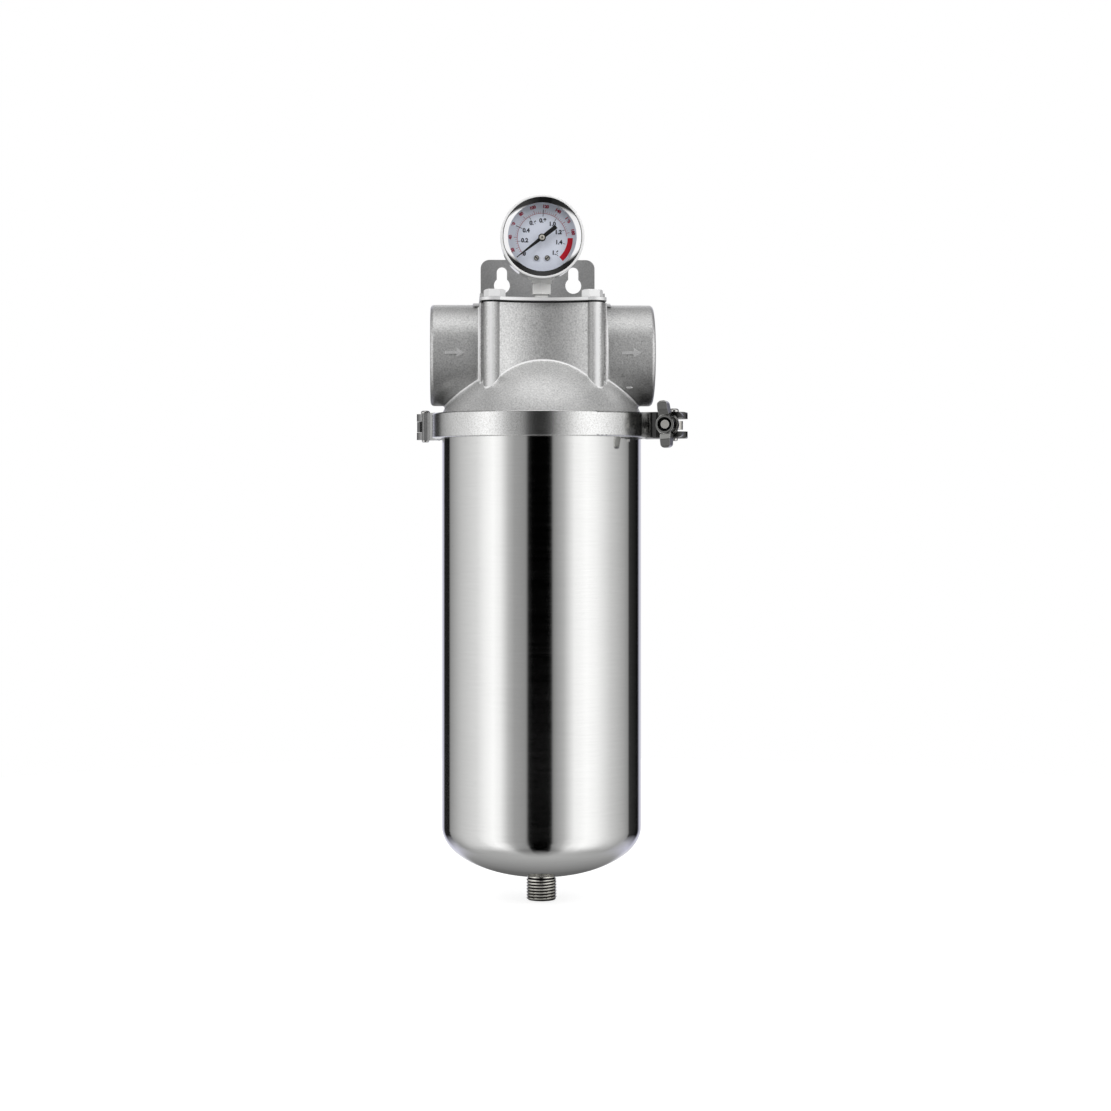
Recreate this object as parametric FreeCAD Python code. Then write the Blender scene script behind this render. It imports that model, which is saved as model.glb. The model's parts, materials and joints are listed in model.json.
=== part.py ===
import FreeCAD, Part
import math
import os
from FreeCAD import Vector

# Large flow prefilter: a cast head between two female ports, a bowl that hangs
# from it in a hinged clamp, a strainer element inside, a pressure gauge and a
# wall bracket on top. Millimetres, +Z up, -Y is the side with the dial.
# The origin is the centre of the lower end of the drain nipple.

# Bowl and drain nipple
bowl_radius = 70.0
bowl_wall = 2.0
bowl_dish_depth = 34.5
bowl_height = 314.85
drain_reach = 17.0
drain_radius = 10.48
drain_bore = 7.5
drain_shank = 10.33
drain_relief_length = 2.2
drain_relief_depth = 0.9
weld_gap = 0.05

# Joint between head and bowl
seal_thickness = 2.0
flange_radius = 74.3
flange_rim = 3.4
flange_slope = 20.0
flange_bore = 66.0
neck_length = 6.35

# Clamp
band_radius = 77.0
band_height = 17.3
band_lip_radius = 70.9
band_edge = 1.2
groove_clearance = 0.4
cone_clearance = 0.15
band_gap = 3.0
clamp_turn = -18.0
closure_reach = 93.5
closure_setback = 9.0
ear_nose = 9.5
ear_outer = 9.2
ear_inner = 4.35
prong_end = 103.0
prong_setback = 2.0
seat_radius = 18.7
seat_clearance = 0.3
pin_radius = 2.6
pin_head_radius = 3.3
pin_head_height = 2.6
pin_clearance = 0.05
bolt_radius = 4.0
bolt_slot_clearance = 0.8
eye_radius = 6.2
eye_height = 6.0
bolt_end = 28.6
nut_washer_radius = 8.0
nut_washer_thickness = 1.6
nut_length = 9.5
nut_radius = 6.9
nut_clearance = 0.06
wing_reach = 16.3
wing_width = 7.8
wing_tilt = 5.0
hinge_reach = 86.5
hinge_setback = 1.0
hinge_nose = 6.2
hinge_lug_height = 19.5
knuckle_height = 7.2
hinge_play = 0.35

# Head casting
head_height = 82.75
head_half_width = 43.9
head_side_depth = 37.0
head_wall = 5.0
dome_radius = 77.6
dome_crown = 51.65
column_x = 35.65
column_y = 41.0
column_radius = 5.65
face_setback = 35.5
face_curve = 68.0
port_height = 48.5
port_reach = 78.0
port_radius = 35.5
port_bore = 28.33
port_thread_length = 26.0
port_edge = 2.8
port_root = 1.2
lip_radius = 36.7
lip_width = 5.2
lip_rise = 33.5
passage_radius = 24.0
duct_radius = 21.0
duct_bore = 16.0
spigot_length = 27.0
spigot_radius = 19.0
bridge_width = 9.0
bridge_height = 8.0
root_fillet = 1.5

# Bracket
pad_thickness = 1.3
bracket_thickness = 2.3
foot_half_width = 43.5
foot_front = 46.5
foot_corner = 9.0
wall_distance = 84.0
bend_radius = 3.0
plate_width = 84.2
plate_rise = 37.9
plate_corner = 6.5
keyhole_spacing = 52.8
keyhole_rise = 18.9
keyhole_radius = 5.9
keyhole_slot_radius = 3.8
keyhole_slot_rise = 9.8
rib_height = 4.6
rib_start = -22.0
rib_end = 66.0
hex_bolt_radius = 4.0
hex_bolt_length = 14.0
hex_bolt_flats = 13.0
hex_bolt_head = 5.3
hex_bolt_x = 33.6
hex_bolt_y = 39.0
thread_clearance = 0.05

# Gauge
gauge_rise = 44.2
gauge_radius = 29.3
gauge_case_radius = 28.6
gauge_case_wall = 1.0
gauge_front = 18.5
gauge_back = 10.5
bezel_length = 6.5
window_radius = 24.0
bezel_rim = 1.5
window_thickness = 2.0
dial_radius = 26.2
dial_thickness = 0.8
dial_depth = 7.8
dial_screw_spread = 3.8
dial_screw_drop = 14.0
dial_screw_radius = 1.1
needle_reach = 22.5
needle_tail = 12.6
needle_depth = 11.2
needle_thickness = 0.6
needle_rest = 218.0
shaft_radius = 0.8
shaft_clearance = 0.08
gauge_thread_radius = 4.86
gauge_thread_length = 8.0
gauge_hex_flats = 12.7
gauge_hex_rise = 5.2
gauge_hex_height = 8.4
saddle_half_width = 10.0
tube_curl_radius = 18.9
tube_half_width = 1.3
tube_half_depth = 4.0

# Strainer element
element_radius = 50.0
element_top = 316.0
element_bottom = 56.0
element_cap_radius = 52.0
element_cap_height = 9.0
tube_wall = 1.2
mesh_wall = 0.8
mesh_gap = 0.1
window_rows = 5
window_columns = 6
window_hole_radius = 15.0
collar_clearance = 0.1
rod_radius = 4.0
rod_below = 14.0
ring_section = 1.6
element_washer_thickness = 2.5
element_nut_flats = 13.0
element_nut_height = 6.5

# Levels worked out from the sizes above
bowl_face = drain_reach + bowl_height
joint_level = bowl_face + seal_thickness / 2
head_face = bowl_face + seal_thickness
head_top = head_face + head_height
dome_centre = head_face + dome_crown - dome_radius
port_level = head_face + port_height
foot_bottom = head_top + pad_thickness
foot_top = foot_bottom + bracket_thickness
plate_top = foot_top + plate_rise
keyhole_level = foot_top + keyhole_rise
gauge_level = foot_top + gauge_rise
gauge_hex_level = foot_top + gauge_hex_rise
chamber_x = head_half_width - head_wall - 1
slope = math.tan(math.radians(flange_slope))
up = Vector(0, 0, 1)
forward = Vector(0, -1, 0)


def turnBy(shape, degrees, centre=Vector(0, 0, 0), axis=up):
    turned_shape = shape.copy()
    turned_shape.rotate(centre, axis, degrees)
    return turned_shape


def joined(shapes):
    result = shapes[0]
    if len(shapes) > 1:
        result = result.fuse(shapes[1:])
    return result.removeSplitter()


def solidOf(shape):
    solids = shape.Solids
    return solids[0] if len(solids) == 1 else Part.makeCompound(solids)


def flatAt(level):
    return lambda point: Vector(point.x, point.y, level)


def inXZ(point):
    return Vector(point.x, 0, point.y)


def outline(corners, place):
    # Closed face through the corners (u, v, radius), each corner rounded by its radius
    count = len(corners)
    trims = []
    for index, (u, v, radius) in enumerate(corners):
        here = Vector(u, v, 0)
        before = Vector(corners[index - 1][0], corners[index - 1][1], 0) - here
        after = Vector(corners[(index + 1) % count][0], corners[(index + 1) % count][1], 0) - here
        if radius == 0:
            trims.append((here, None, here))
            continue
        before.normalize()
        after.normalize()
        half_angle = before.getAngle(after) / 2
        bisector = (before + after).normalize()
        reach = radius / math.tan(half_angle)
        centre = here + bisector * (radius / math.sin(half_angle))
        trims.append((here + before * reach, centre - bisector * radius, here + after * reach))
    edges = []
    for index, (start, middle, end) in enumerate(trims):
        if middle is not None:
            edges.append(Part.Arc(place(start), place(middle), place(end)).toShape())
        next_start = trims[(index + 1) % count][0]
        if (next_start - end).Length > 1e-6:
            edges.append(Part.LineSegment(place(end), place(next_start)).toShape())
    return Part.Face(Part.Wire(edges))


def turned(corners, angle=360):
    # Body of revolution about Z from (radius, height, rounding) corners
    return outline(corners, inXZ).revolve(Vector(0, 0, 0), up, angle)


def turnedOnBolt(shape):
    # Z of a shape becomes the forward direction, away from the wall
    return turnBy(shape, 90, axis=Vector(1, 0, 0))


def cylinder(radius, bottom, top, x=0.0, y=0.0):
    return Part.makeCylinder(radius, top - bottom, Vector(x, y, bottom))


def lying(radius, start, end, level):
    return Part.makeCylinder(radius, end - start, Vector(start, 0, level), Vector(1, 0, 0))


def block(x0, x1, y0, y1, z0, z1):
    return Part.makeBox(x1 - x0, y1 - y0, z1 - z0, Vector(x0, y0, z0))


def hexagon(flats, bottom, top, x=0.0, y=0.0, turn=0.0):
    corner = flats / math.sqrt(3)
    points = []
    for index in range(6):
        angle = math.radians(60 * index + turn)
        points.append((x + corner * math.cos(angle), y + corner * math.sin(angle), 0))
    return outline(points, flatAt(bottom)).extrude(Vector(0, 0, top - bottom))


def hexHead(flats, bottom, top, x=0.0, y=0.0, turn=0.0):
    # Hexagon whose upper corners are turned off to a cone
    corner = flats / math.sqrt(3)
    height = top - bottom
    bevel = (corner - flats / 2) * 0.6
    cone = turned([(0, bottom, 0), (corner + 0.01, bottom, 0), (corner + 0.01, top - bevel, 0),
                   (flats / 2 * 0.97, top, 0), (0, top, 0)])
    cone.translate(Vector(x, y, 0))
    return hexagon(flats, bottom, bottom + height, x, y, turn).common(cone)


def inClamp(shape):
    return turnBy(shape, clamp_turn)


def save(name, shape):
    solid = solidOf(shape)
    solid.exportStep("parts/" + name + ".step")
    print(name, len(solid.Solids), "solids", round(solid.Volume / 1000, 2), "cm3", solid.isValid())


# Bowl: deep drawn shell with an elliptical dish, its welded flange and nipple
def bowlShell():
    tangent_level = drain_reach + bowl_dish_depth
    shell_top = bowl_face - neck_length
    inner = bowl_radius - bowl_wall
    centre = Vector(0, 0, tangent_level)
    quarter = math.pi / 2
    outer_dish = Part.Ellipse(Vector(bowl_radius, 0, tangent_level), Vector(0, 0, drain_reach), centre)
    inner_dish = Part.Ellipse(Vector(inner, 0, tangent_level), Vector(0, 0, drain_reach + bowl_wall), centre)
    outer_arc = Part.ArcOfEllipse(outer_dish, 0, quarter).toShape()
    inner_arc = Part.ArcOfEllipse(inner_dish, 0, quarter).toShape()
    corners = [Vector(bowl_radius, 0, tangent_level), Vector(bowl_radius, 0, shell_top),
               Vector(inner, 0, shell_top), Vector(inner, 0, tangent_level)]
    sides = [Part.LineSegment(corners[index], corners[index + 1]).toShape() for index in range(3)]
    bottom = Part.LineSegment(Vector(0, 0, drain_reach), Vector(0, 0, drain_reach + bowl_wall)).toShape()
    section = Part.Face(Part.Wire(Part.__sortEdges__([outer_arc, bottom, inner_arc] + sides)))
    shell = section.revolve(Vector(0, 0, 0), up, 360)
    return shell.cut(cylinder(drain_shank + weld_gap, 0, drain_reach + 2 * bowl_dish_depth))


def flangeCorners(face, direction, neck_end, neck_inner):
    # Half of the joint: a flat face, a thin rim and a cone that the clamp draws together
    rim = face + direction * flange_rim
    root = rim + direction * (flange_radius - bowl_radius) * slope
    return [(flange_bore, face, 0), (flange_radius, face, 0), (flange_radius, rim, 0),
            (bowl_radius, root, 0), (bowl_radius, neck_end, 0), (neck_inner, neck_end, 0)]


def bowlFlange():
    neck_end = bowl_face - neck_length
    inner = bowl_radius - bowl_wall
    corners = flangeCorners(bowl_face, -1, neck_end, inner)
    corners.append((flange_bore, bowl_face - flange_rim, 0))
    return turned(corners)


def drainNipple():
    top = drain_reach + bowl_wall + 0.8
    relief_top = drain_reach - 0.3
    relief_bottom = relief_top - drain_relief_length
    relief_radius = drain_radius - drain_relief_depth
    return turned([(drain_bore, 0, 0), (drain_radius, 0, 0), (drain_radius, relief_bottom - 0.8, 0),
                   (relief_radius, relief_bottom, 0), (relief_radius, relief_top, 0),
                   (drain_shank, relief_top + 0.2, 0), (drain_shank, top, 0), (drain_bore, top, 0)])


def bodySeal():
    return turned([(flange_bore + 0.5, bowl_face, 0), (flange_radius - 0.9, bowl_face, 0),
                   (flange_radius - 0.9, head_face, 0), (flange_bore + 0.5, head_face, 0)])


# Head: dome, square upper body with four bolt columns and two ports
def headPlan(bottom, top):
    depth = column_y + column_radius - 4
    across = block(-column_x, column_x, -depth, depth, bottom, top)
    along = outline([(sx * head_half_width, sy * head_side_depth, 1.0)
                     for sx, sy in ((-1, -1), (1, -1), (1, 1), (-1, 1))], flatAt(bottom))
    body = across.fuse(along.extrude(Vector(0, 0, top - bottom)))
    for side in (-1, 1):
        hollow = cylinder(face_curve, bottom - 1, top + 1, 0, side * (face_setback + face_curve))
        body = body.cut(hollow)
    columns = [cylinder(column_radius, bottom, top, sx * column_x, sy * column_y)
               for sx in (-1, 1) for sy in (-1, 1)]
    return joined([body] + columns)


def onPort(side, corners):
    # Body of revolution about the axis of the left (-1) or right (1) port
    shape = turnBy(turned(corners), side * 90, axis=Vector(0, 1, 0))
    shape.translate(Vector(0, 0, port_level))
    return shape


def headOutside():
    dome = Part.makeSphere(dome_radius, Vector(0, 0, dome_centre))
    dome = dome.common(cylinder(bowl_radius, head_face, head_top))
    upper = headPlan(dome_centre + 30, head_top)
    ports = [onPort(side, [(0, column_x / 2, 0), (port_radius, column_x / 2, 0),
                           (port_radius, port_reach, port_edge), (0, port_reach, 0)]) for side in (-1, 1)]
    outside = joined([dome, upper] + ports)
    above = block(-head_half_width, head_half_width, -60, 60, head_top, head_top + 20)
    below = block(-port_reach - 1, port_reach + 1, -60, 60, dome_centre - dome_radius, head_face)
    return outside.cut([above, below])


def portRoots():
    # Small cone where each port meets the body, and the lip left on top of it by the mould
    roots = []
    start = head_half_width - 1
    lip_end = head_half_width + lip_width
    for side in (-1, 1):
        root = onPort(side, [(port_radius - 1, start, 0), (port_radius + port_root, start, 0),
                             (port_radius + port_root, head_half_width, 0),
                             (port_radius, head_half_width + port_root, 0),
                             (port_radius - 1, head_half_width + port_root, 0)])
        lip = onPort(side, [(port_radius - 1, head_half_width, 0), (lip_radius, head_half_width, 0),
                            (lip_radius, lip_end - 1.2, 0), (port_radius - 1, lip_end, 0)])
        lip = lip.common(block(-port_reach, port_reach, -port_radius, port_radius, port_level + lip_rise,
                               port_level + lip_radius + 1))
        inside = block(-head_half_width, head_half_width, -60, 60, head_top, head_top + 20)
        roots.append(root.fuse(lip).cut(inside))
    return roots


def creaseEdges(shape):
    # Edges where the ports and the hollow faces grow out of the dome
    chosen = []
    for edge in shape.Edges:
        middle = edge.valueAt((edge.FirstParameter + edge.LastParameter) / 2)
        from_centre = (middle - Vector(0, 0, dome_centre)).Length
        on_port = abs(math.hypot(middle.y, middle.z - port_level) - port_radius) < 0.05
        on_face = abs(middle.x) < column_x - column_radius and middle.z > head_face + 12
        if abs(from_centre - dome_radius) < 0.05 and (on_port or on_face):
            chosen.append(edge)
    return chosen


def headFlange():
    neck_end = head_face + neck_length
    corners = flangeCorners(head_face, 1, neck_end, flange_bore)
    return turned(corners)


def headCasting():
    outside = headOutside()
    outside = outside.makeFillet(root_fillet, creaseEdges(outside))
    outside = outside.fuse([headFlange()] + portRoots())
    inner_dome = Part.makeSphere(dome_radius - head_wall, Vector(0, 0, dome_centre))
    inner_dome = inner_dome.common(cylinder(flange_bore, head_face - 1, head_top))
    chamber_y = face_setback - head_wall - 1
    chamber = block(-chamber_x, chamber_x, -chamber_y, chamber_y, dome_centre + 50,
                    head_top - head_wall - 2)
    inlet = lying(passage_radius, -port_reach, -duct_radius - 3, port_level)
    casting = outside.cut([inner_dome, chamber, inlet])
    # Boss inside the right port, where the outlet duct ends
    boss = lying(duct_radius, chamber_x, port_reach - port_thread_length - 2, port_level)
    casting = casting.fuse(boss).cut(lying(duct_bore, chamber_x - 1, port_reach, port_level))
    # Threaded bores, all at their thread's inner radius except where a bolt fills them
    bores = [cylinder(gauge_thread_radius + thread_clearance, head_top - 20, head_top + 1)]
    bolt_depth = hex_bolt_length - bracket_thickness - pad_thickness + 3
    for sx in (-1, 1):
        for sy in (-1, 1):
            bores.append(cylinder(hex_bolt_radius + thread_clearance, head_top - bolt_depth,
                                  head_top + 1, sx * hex_bolt_x, sy * hex_bolt_y))
        start = port_reach - port_thread_length if sx > 0 else -port_reach - 1
        bores.append(lying(port_bore, start, start + port_thread_length + 1, port_level))
        mouth = Part.makeCone(port_bore, port_bore + 2.2, 2.2, Vector(sx * (port_reach - 1.2), 0, port_level),
                              Vector(sx, 0, 0))
        bores.append(mouth)
    return casting.cut(bores)


def outletDuct():
    # Elbow inside the head: from the spigot that holds the strainer up and out to the right port
    spigot_end = head_face - spigot_length
    spigot_root = head_face - 8
    arm = lying(duct_radius, 0, chamber_x, port_level)
    elbow = Part.makeSphere(duct_radius, Vector(0, 0, port_level))
    riser = cylinder(duct_radius, spigot_root, port_level)
    spigot = turned([(0, spigot_end, 0), (spigot_radius - 1, spigot_end, 0), (spigot_radius, spigot_end + 1, 0),
                     (spigot_radius, spigot_root, 0), (0, spigot_root, 0)])
    duct = joined([arm, elbow, riser, spigot])
    duct = duct.cut([lying(duct_bore, 0, chamber_x + 1, port_level),
                     Part.makeSphere(duct_bore, Vector(0, 0, port_level)),
                     cylinder(duct_bore, spigot_end - 1, port_level)])
    # Bridge across the riser with the thread of the tie rod
    bridge_bottom = head_face - bridge_height
    bridge = block(-duct_bore - 1, duct_bore + 1, -bridge_width / 2, bridge_width / 2,
                   bridge_bottom, head_face)
    return duct.fuse(bridge).cut(cylinder(rod_radius + thread_clearance, bridge_bottom - 1, head_face + 1))


# Clamp: two grooved halves, hinged on one side and drawn together by a swing bolt
def clampRing():
    groove_radius = flange_radius + groove_clearance
    half_rim = seal_thickness / 2 + flange_rim + cone_clearance
    half_lip = half_rim + (groove_radius - band_lip_radius) * slope
    half = band_height / 2
    mid = joint_level
    return turned([(band_radius, mid - half, band_edge), (band_radius, mid + half, band_edge),
                   (band_lip_radius, mid + half, 0), (band_lip_radius, mid + half_lip, 0),
                   (groove_radius, mid + half_rim, 0), (groove_radius, mid - half_rim, 0),
                   (band_lip_radius, mid - half_lip, 0), (band_lip_radius, mid - half, 0)])


def clampBore():
    # Everything inside the ring: the space of the two flanges and their clearance
    groove_radius = flange_radius + groove_clearance
    half_rim = seal_thickness / 2 + flange_rim + cone_clearance
    half_lip = half_rim + (groove_radius - band_lip_radius) * slope
    mid = joint_level
    return turned([(0, mid - 30, 0), (band_lip_radius, mid - 30, 0), (band_lip_radius, mid - half_lip, 0),
                   (groove_radius, mid - half_rim, 0), (groove_radius, mid + half_rim, 0),
                   (band_lip_radius, mid + half_lip, 0), (band_lip_radius, mid + 30, 0), (0, mid + 30, 0)])


def clampHalf(side):
    # side -1 is the half towards the dial, 1 the half towards the wall
    reach = band_radius + 20
    if side < 0:
        keep = block(-reach, reach, -reach, -band_gap / 2, 0, head_top)
    else:
        keep = block(-reach, reach, band_gap / 2, reach, 0, head_top)
    return clampRing().common(keep)


def lugProfile(plan, bottom, top):
    return outline(plan, flatAt(bottom)).extrude(Vector(0, 0, top - bottom))


def roundedEnd(start, end, depth, half_height, radius):
    # Side view of a lug: upright at the band, rounded at its outer end
    low = joint_level - half_height
    high = joint_level + half_height
    side = outline([(start, low, 0), (end, low, radius), (end, high, radius), (start, high, 0)], inXZ)
    side.translate(Vector(0, -depth, 0))
    return side.extrude(Vector(0, 2 * depth, 0))


def closureFork():
    # Lug welded to the front half: its seat is round about the swing bolt's pivot
    half = band_height / 2
    low = joint_level - half
    high = joint_level + half
    pivot_y = closure_setback
    root = band_radius - 2.5
    shoulder = closure_reach - 9
    shoulder_y = pivot_y - math.sqrt(seat_radius ** 2 - 9 ** 2)
    fork_plan = [(root, -prong_setback, 0), (prong_end, -prong_setback, 1.0), (prong_end, -12, 0),
                 (shoulder, -12, 0), (shoulder, shoulder_y, 0), (shoulder - 4, shoulder_y, 3.0),
                 (root, -15.5, 0)]
    fork = lugProfile(fork_plan, low, high)
    seat = cylinder(seat_radius, low - 1, high + 1, closure_reach, pivot_y)
    gusset = block(root - 5, shoulder, -20, 0, low - 1, high + 1)
    fork = fork.common(seat.fuse(gusset))
    fork = fork.common(roundedEnd(root - 5, prong_end, 30, half, 3.2))
    slot_radius = bolt_radius + bolt_slot_clearance
    slot = block(closure_reach, prong_end + 5, -25, 5, joint_level - slot_radius, joint_level + slot_radius)
    slot_end = Part.makeCylinder(slot_radius, 30, Vector(closure_reach, 5, joint_level), forward)
    band = cylinder(band_radius + weld_gap, low - 1, high + 1)
    return inClamp(fork.cut([slot, slot_end, band]))


def clampFrontHalf():
    # Front half with its hinge lug and middle knuckle
    root = band_radius - 2.5
    half_lug = hinge_lug_height / 2
    lug_plan = [(-root, -2, 0), (-root, -14.5, 0), (-hinge_reach + 6, -9.2, 3.0),
                (-hinge_reach + 0.6, -9.2, 1.5), (-hinge_reach + 0.6, -2, 0)]
    lug = lugProfile(lug_plan, joint_level - half_lug, joint_level + half_lug)
    relief = cylinder(hinge_nose + hinge_play, joint_level - half_lug - 1, joint_level + half_lug + 1,
                      -hinge_reach, hinge_setback)
    lug = lug.cut(relief)
    half_knuckle = knuckle_height / 2
    knuckle_low = joint_level - half_knuckle
    knuckle_high = joint_level + half_knuckle
    knuckle = cylinder(hinge_nose - 0.2, knuckle_low, knuckle_high, -hinge_reach, hinge_setback)
    web_plan = [(-hinge_reach - 5.4, hinge_setback - 2, 0), (-hinge_reach + 5.4, hinge_setback - 2, 0),
                (-hinge_reach + 5.4, -8.8, 0), (-hinge_reach + 0.9, -8.8, 0)]
    web = lugProfile(web_plan, knuckle_low, knuckle_high)
    lugs = joined([lug, knuckle, web]).cut(clampBore())
    hole = cylinder(pin_radius + pin_clearance, knuckle_low - 1, knuckle_high + 1,
                    -hinge_reach, hinge_setback)
    return inClamp(joined([clampHalf(-1), lugs]).cut(hole))


def clampRearHalf():
    root = band_radius - 2.5
    pivot_y = closure_setback
    low = joint_level - ear_outer
    high = joint_level + ear_outer
    ears_plan = [(root, 1.6, 0), (closure_reach, pivot_y - ear_nose, 0),
                 (closure_reach, pivot_y + ear_nose, 0), (root - 6, 30, 0)]
    ears = lugProfile(ears_plan, low, high)
    ears = ears.fuse(cylinder(ear_nose, low, high, closure_reach, pivot_y))
    ears = ears.common(roundedEnd(root - 12, closure_reach + ear_nose, 60, ear_outer, 1.6))
    throat = closure_reach - eye_radius - 1.2
    gap = block(throat, closure_reach + 20, -30, 60, joint_level - ear_inner, joint_level + ear_inner)
    ears = ears.cut(gap)
    # Hinge ears above and below the front half's knuckle
    hinge_plan = [(-hinge_reach - 5.2, hinge_setback + 3.2, 0), (-root, 19.5, 0), (-root, 1.7, 0),
                  (-hinge_reach + 5.6, 1.7, 0)]
    half_lug = ear_outer
    hinge = lugProfile(hinge_plan, joint_level - half_lug, joint_level + half_lug)
    hinge = hinge.fuse(cylinder(hinge_nose, joint_level - half_lug, joint_level + half_lug,
                                -hinge_reach, hinge_setback))
    half_gap = knuckle_height / 2 + hinge_play
    room = cylinder(hinge_nose + 0.5, joint_level - half_gap, joint_level + half_gap,
                    -hinge_reach, hinge_setback)
    side_room = block(-hinge_reach - 10, -hinge_reach + 5.9, -20, hinge_setback,
                      joint_level - half_gap, joint_level + half_gap)
    hinge = hinge.cut([room, side_room])
    lugs = ears.fuse(hinge).cut(clampBore())
    holes = [cylinder(pin_radius + pin_clearance, low - 1, high + 1, closure_reach, pivot_y),
             cylinder(pin_radius + pin_clearance, low - 1, high + 1, -hinge_reach, hinge_setback)]
    return inClamp(joined([clampHalf(1), lugs]).cut(holes))


def rivetPin(x, y):
    # Shouldered pin with a domed head above and a peened end below
    low = joint_level - ear_outer
    high = joint_level + ear_outer
    pin = turned([(0, low - 1.8, 0), (pin_radius, low - 1.8, 1.0), (pin_radius, high, 0),
                  (pin_head_radius, high, 0), (pin_head_radius, high + pin_head_height, 1.6),
                  (0, high + pin_head_height, 0)])
    pin.translate(Vector(x, y, 0))
    return inClamp(pin)


def onSwingBolt(shape):
    # Shapes drawn along +Z from the pivot are laid along the swing bolt
    placed = turnedOnBolt(shape)
    placed.translate(Vector(closure_reach, closure_setback, joint_level))
    return inClamp(placed)


def swingBolt():
    shank = turned([(0, eye_radius - 1.5, 0), (bolt_radius, eye_radius - 1.5, 0),
                    (bolt_radius, bolt_end - 1, 0), (bolt_radius - 1, bolt_end, 0), (0, bolt_end, 0)])
    eye = Part.makeCylinder(eye_radius, eye_height, Vector(0, -eye_height / 2, 0), Vector(0, 1, 0))
    neck = block(-bolt_radius, bolt_radius, -eye_height / 2, eye_height / 2, 0, eye_radius + 1)
    hole = Part.makeCylinder(pin_radius + pin_clearance, 20, Vector(0, -10, 0), Vector(0, 1, 0))
    return onSwingBolt(joined([shank, eye, neck]).cut(hole))


def nutWasher():
    back = seat_radius + seat_clearance
    return onSwingBolt(turned([(bolt_radius + nut_clearance, back, 0), (nut_washer_radius, back, 0),
                               (nut_washer_radius, back + nut_washer_thickness, 0),
                               (bolt_radius + nut_clearance, back + nut_washer_thickness, 0)]))


def wingNut():
    back = seat_radius + seat_clearance + nut_washer_thickness
    front = back + nut_length
    barrel = turned([(0, back, 0), (nut_radius, back, 0.4), (nut_radius - 0.5, front, 0.6), (0, front, 0)])
    half_root = wing_width / 2
    half_tip = half_root - 0.6
    wings = []
    for side in (-1, 1):
        profile = [(0, back + 1.2, 0), (9, back + 1.0, 2.0), (wing_reach, back + 3.6, 2.0),
                   (wing_reach, front + 2.6, 2.6), (10.5, front + 2.6, 2.6), (5.5, front - 1.2, 2.0),
                   (0, front - 1.2, 0)]
        face = outline(profile, lambda point: Vector(-wing_width / 2, side * point.x, point.y))
        lobe = outline([(-half_root, 0, 0), (half_root, 0, 0), (half_tip, side * wing_reach, 2.8),
                        (-half_tip, side * wing_reach, 2.8)], flatAt(back))
        wings.append(face.extrude(Vector(wing_width, 0, 0)).common(lobe.extrude(Vector(0, 0, 20))))
    mouth = cylinder(bolt_radius + 0.9, front - 2.4, front + 5)
    nut = joined([barrel] + wings).cut([cylinder(bolt_radius + nut_clearance, back - 1, front + 5), mouth])
    return onSwingBolt(turnBy(nut, wing_tilt))


# Bracket: one folded sheet, its foot on the head and its plate against the wall
def keyhole(x):
    top = keyhole_level + keyhole_slot_rise
    start = wall_distance + 5
    round_part = Part.makeCylinder(keyhole_radius, 20, Vector(x, start, keyhole_level), forward)
    slot_top = Part.makeCylinder(keyhole_slot_radius, 20, Vector(x, start, top), forward)
    slot = block(x - keyhole_slot_radius, x + keyhole_slot_radius, start - 20, start, keyhole_level, top)
    return round_part.fuse([slot_top, slot])


def bracketPlan(margin):
    # Plan of the foot: rounded front corners and a hollow front edge like the head's
    half = foot_half_width - margin
    plan = outline([(-half, -foot_front + margin, foot_corner), (half, -foot_front + margin, foot_corner),
                    (half, wall_distance + 1, 0), (-half, wall_distance + 1, 0)], flatAt(head_top - 1))
    solid = plan.extrude(Vector(0, 0, plate_top + 1 - head_top))
    centre_y = -(face_setback + 4 + face_curve + margin)
    return solid.cut(cylinder(face_curve, head_top - 2, plate_top + 1, 0, centre_y))


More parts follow.
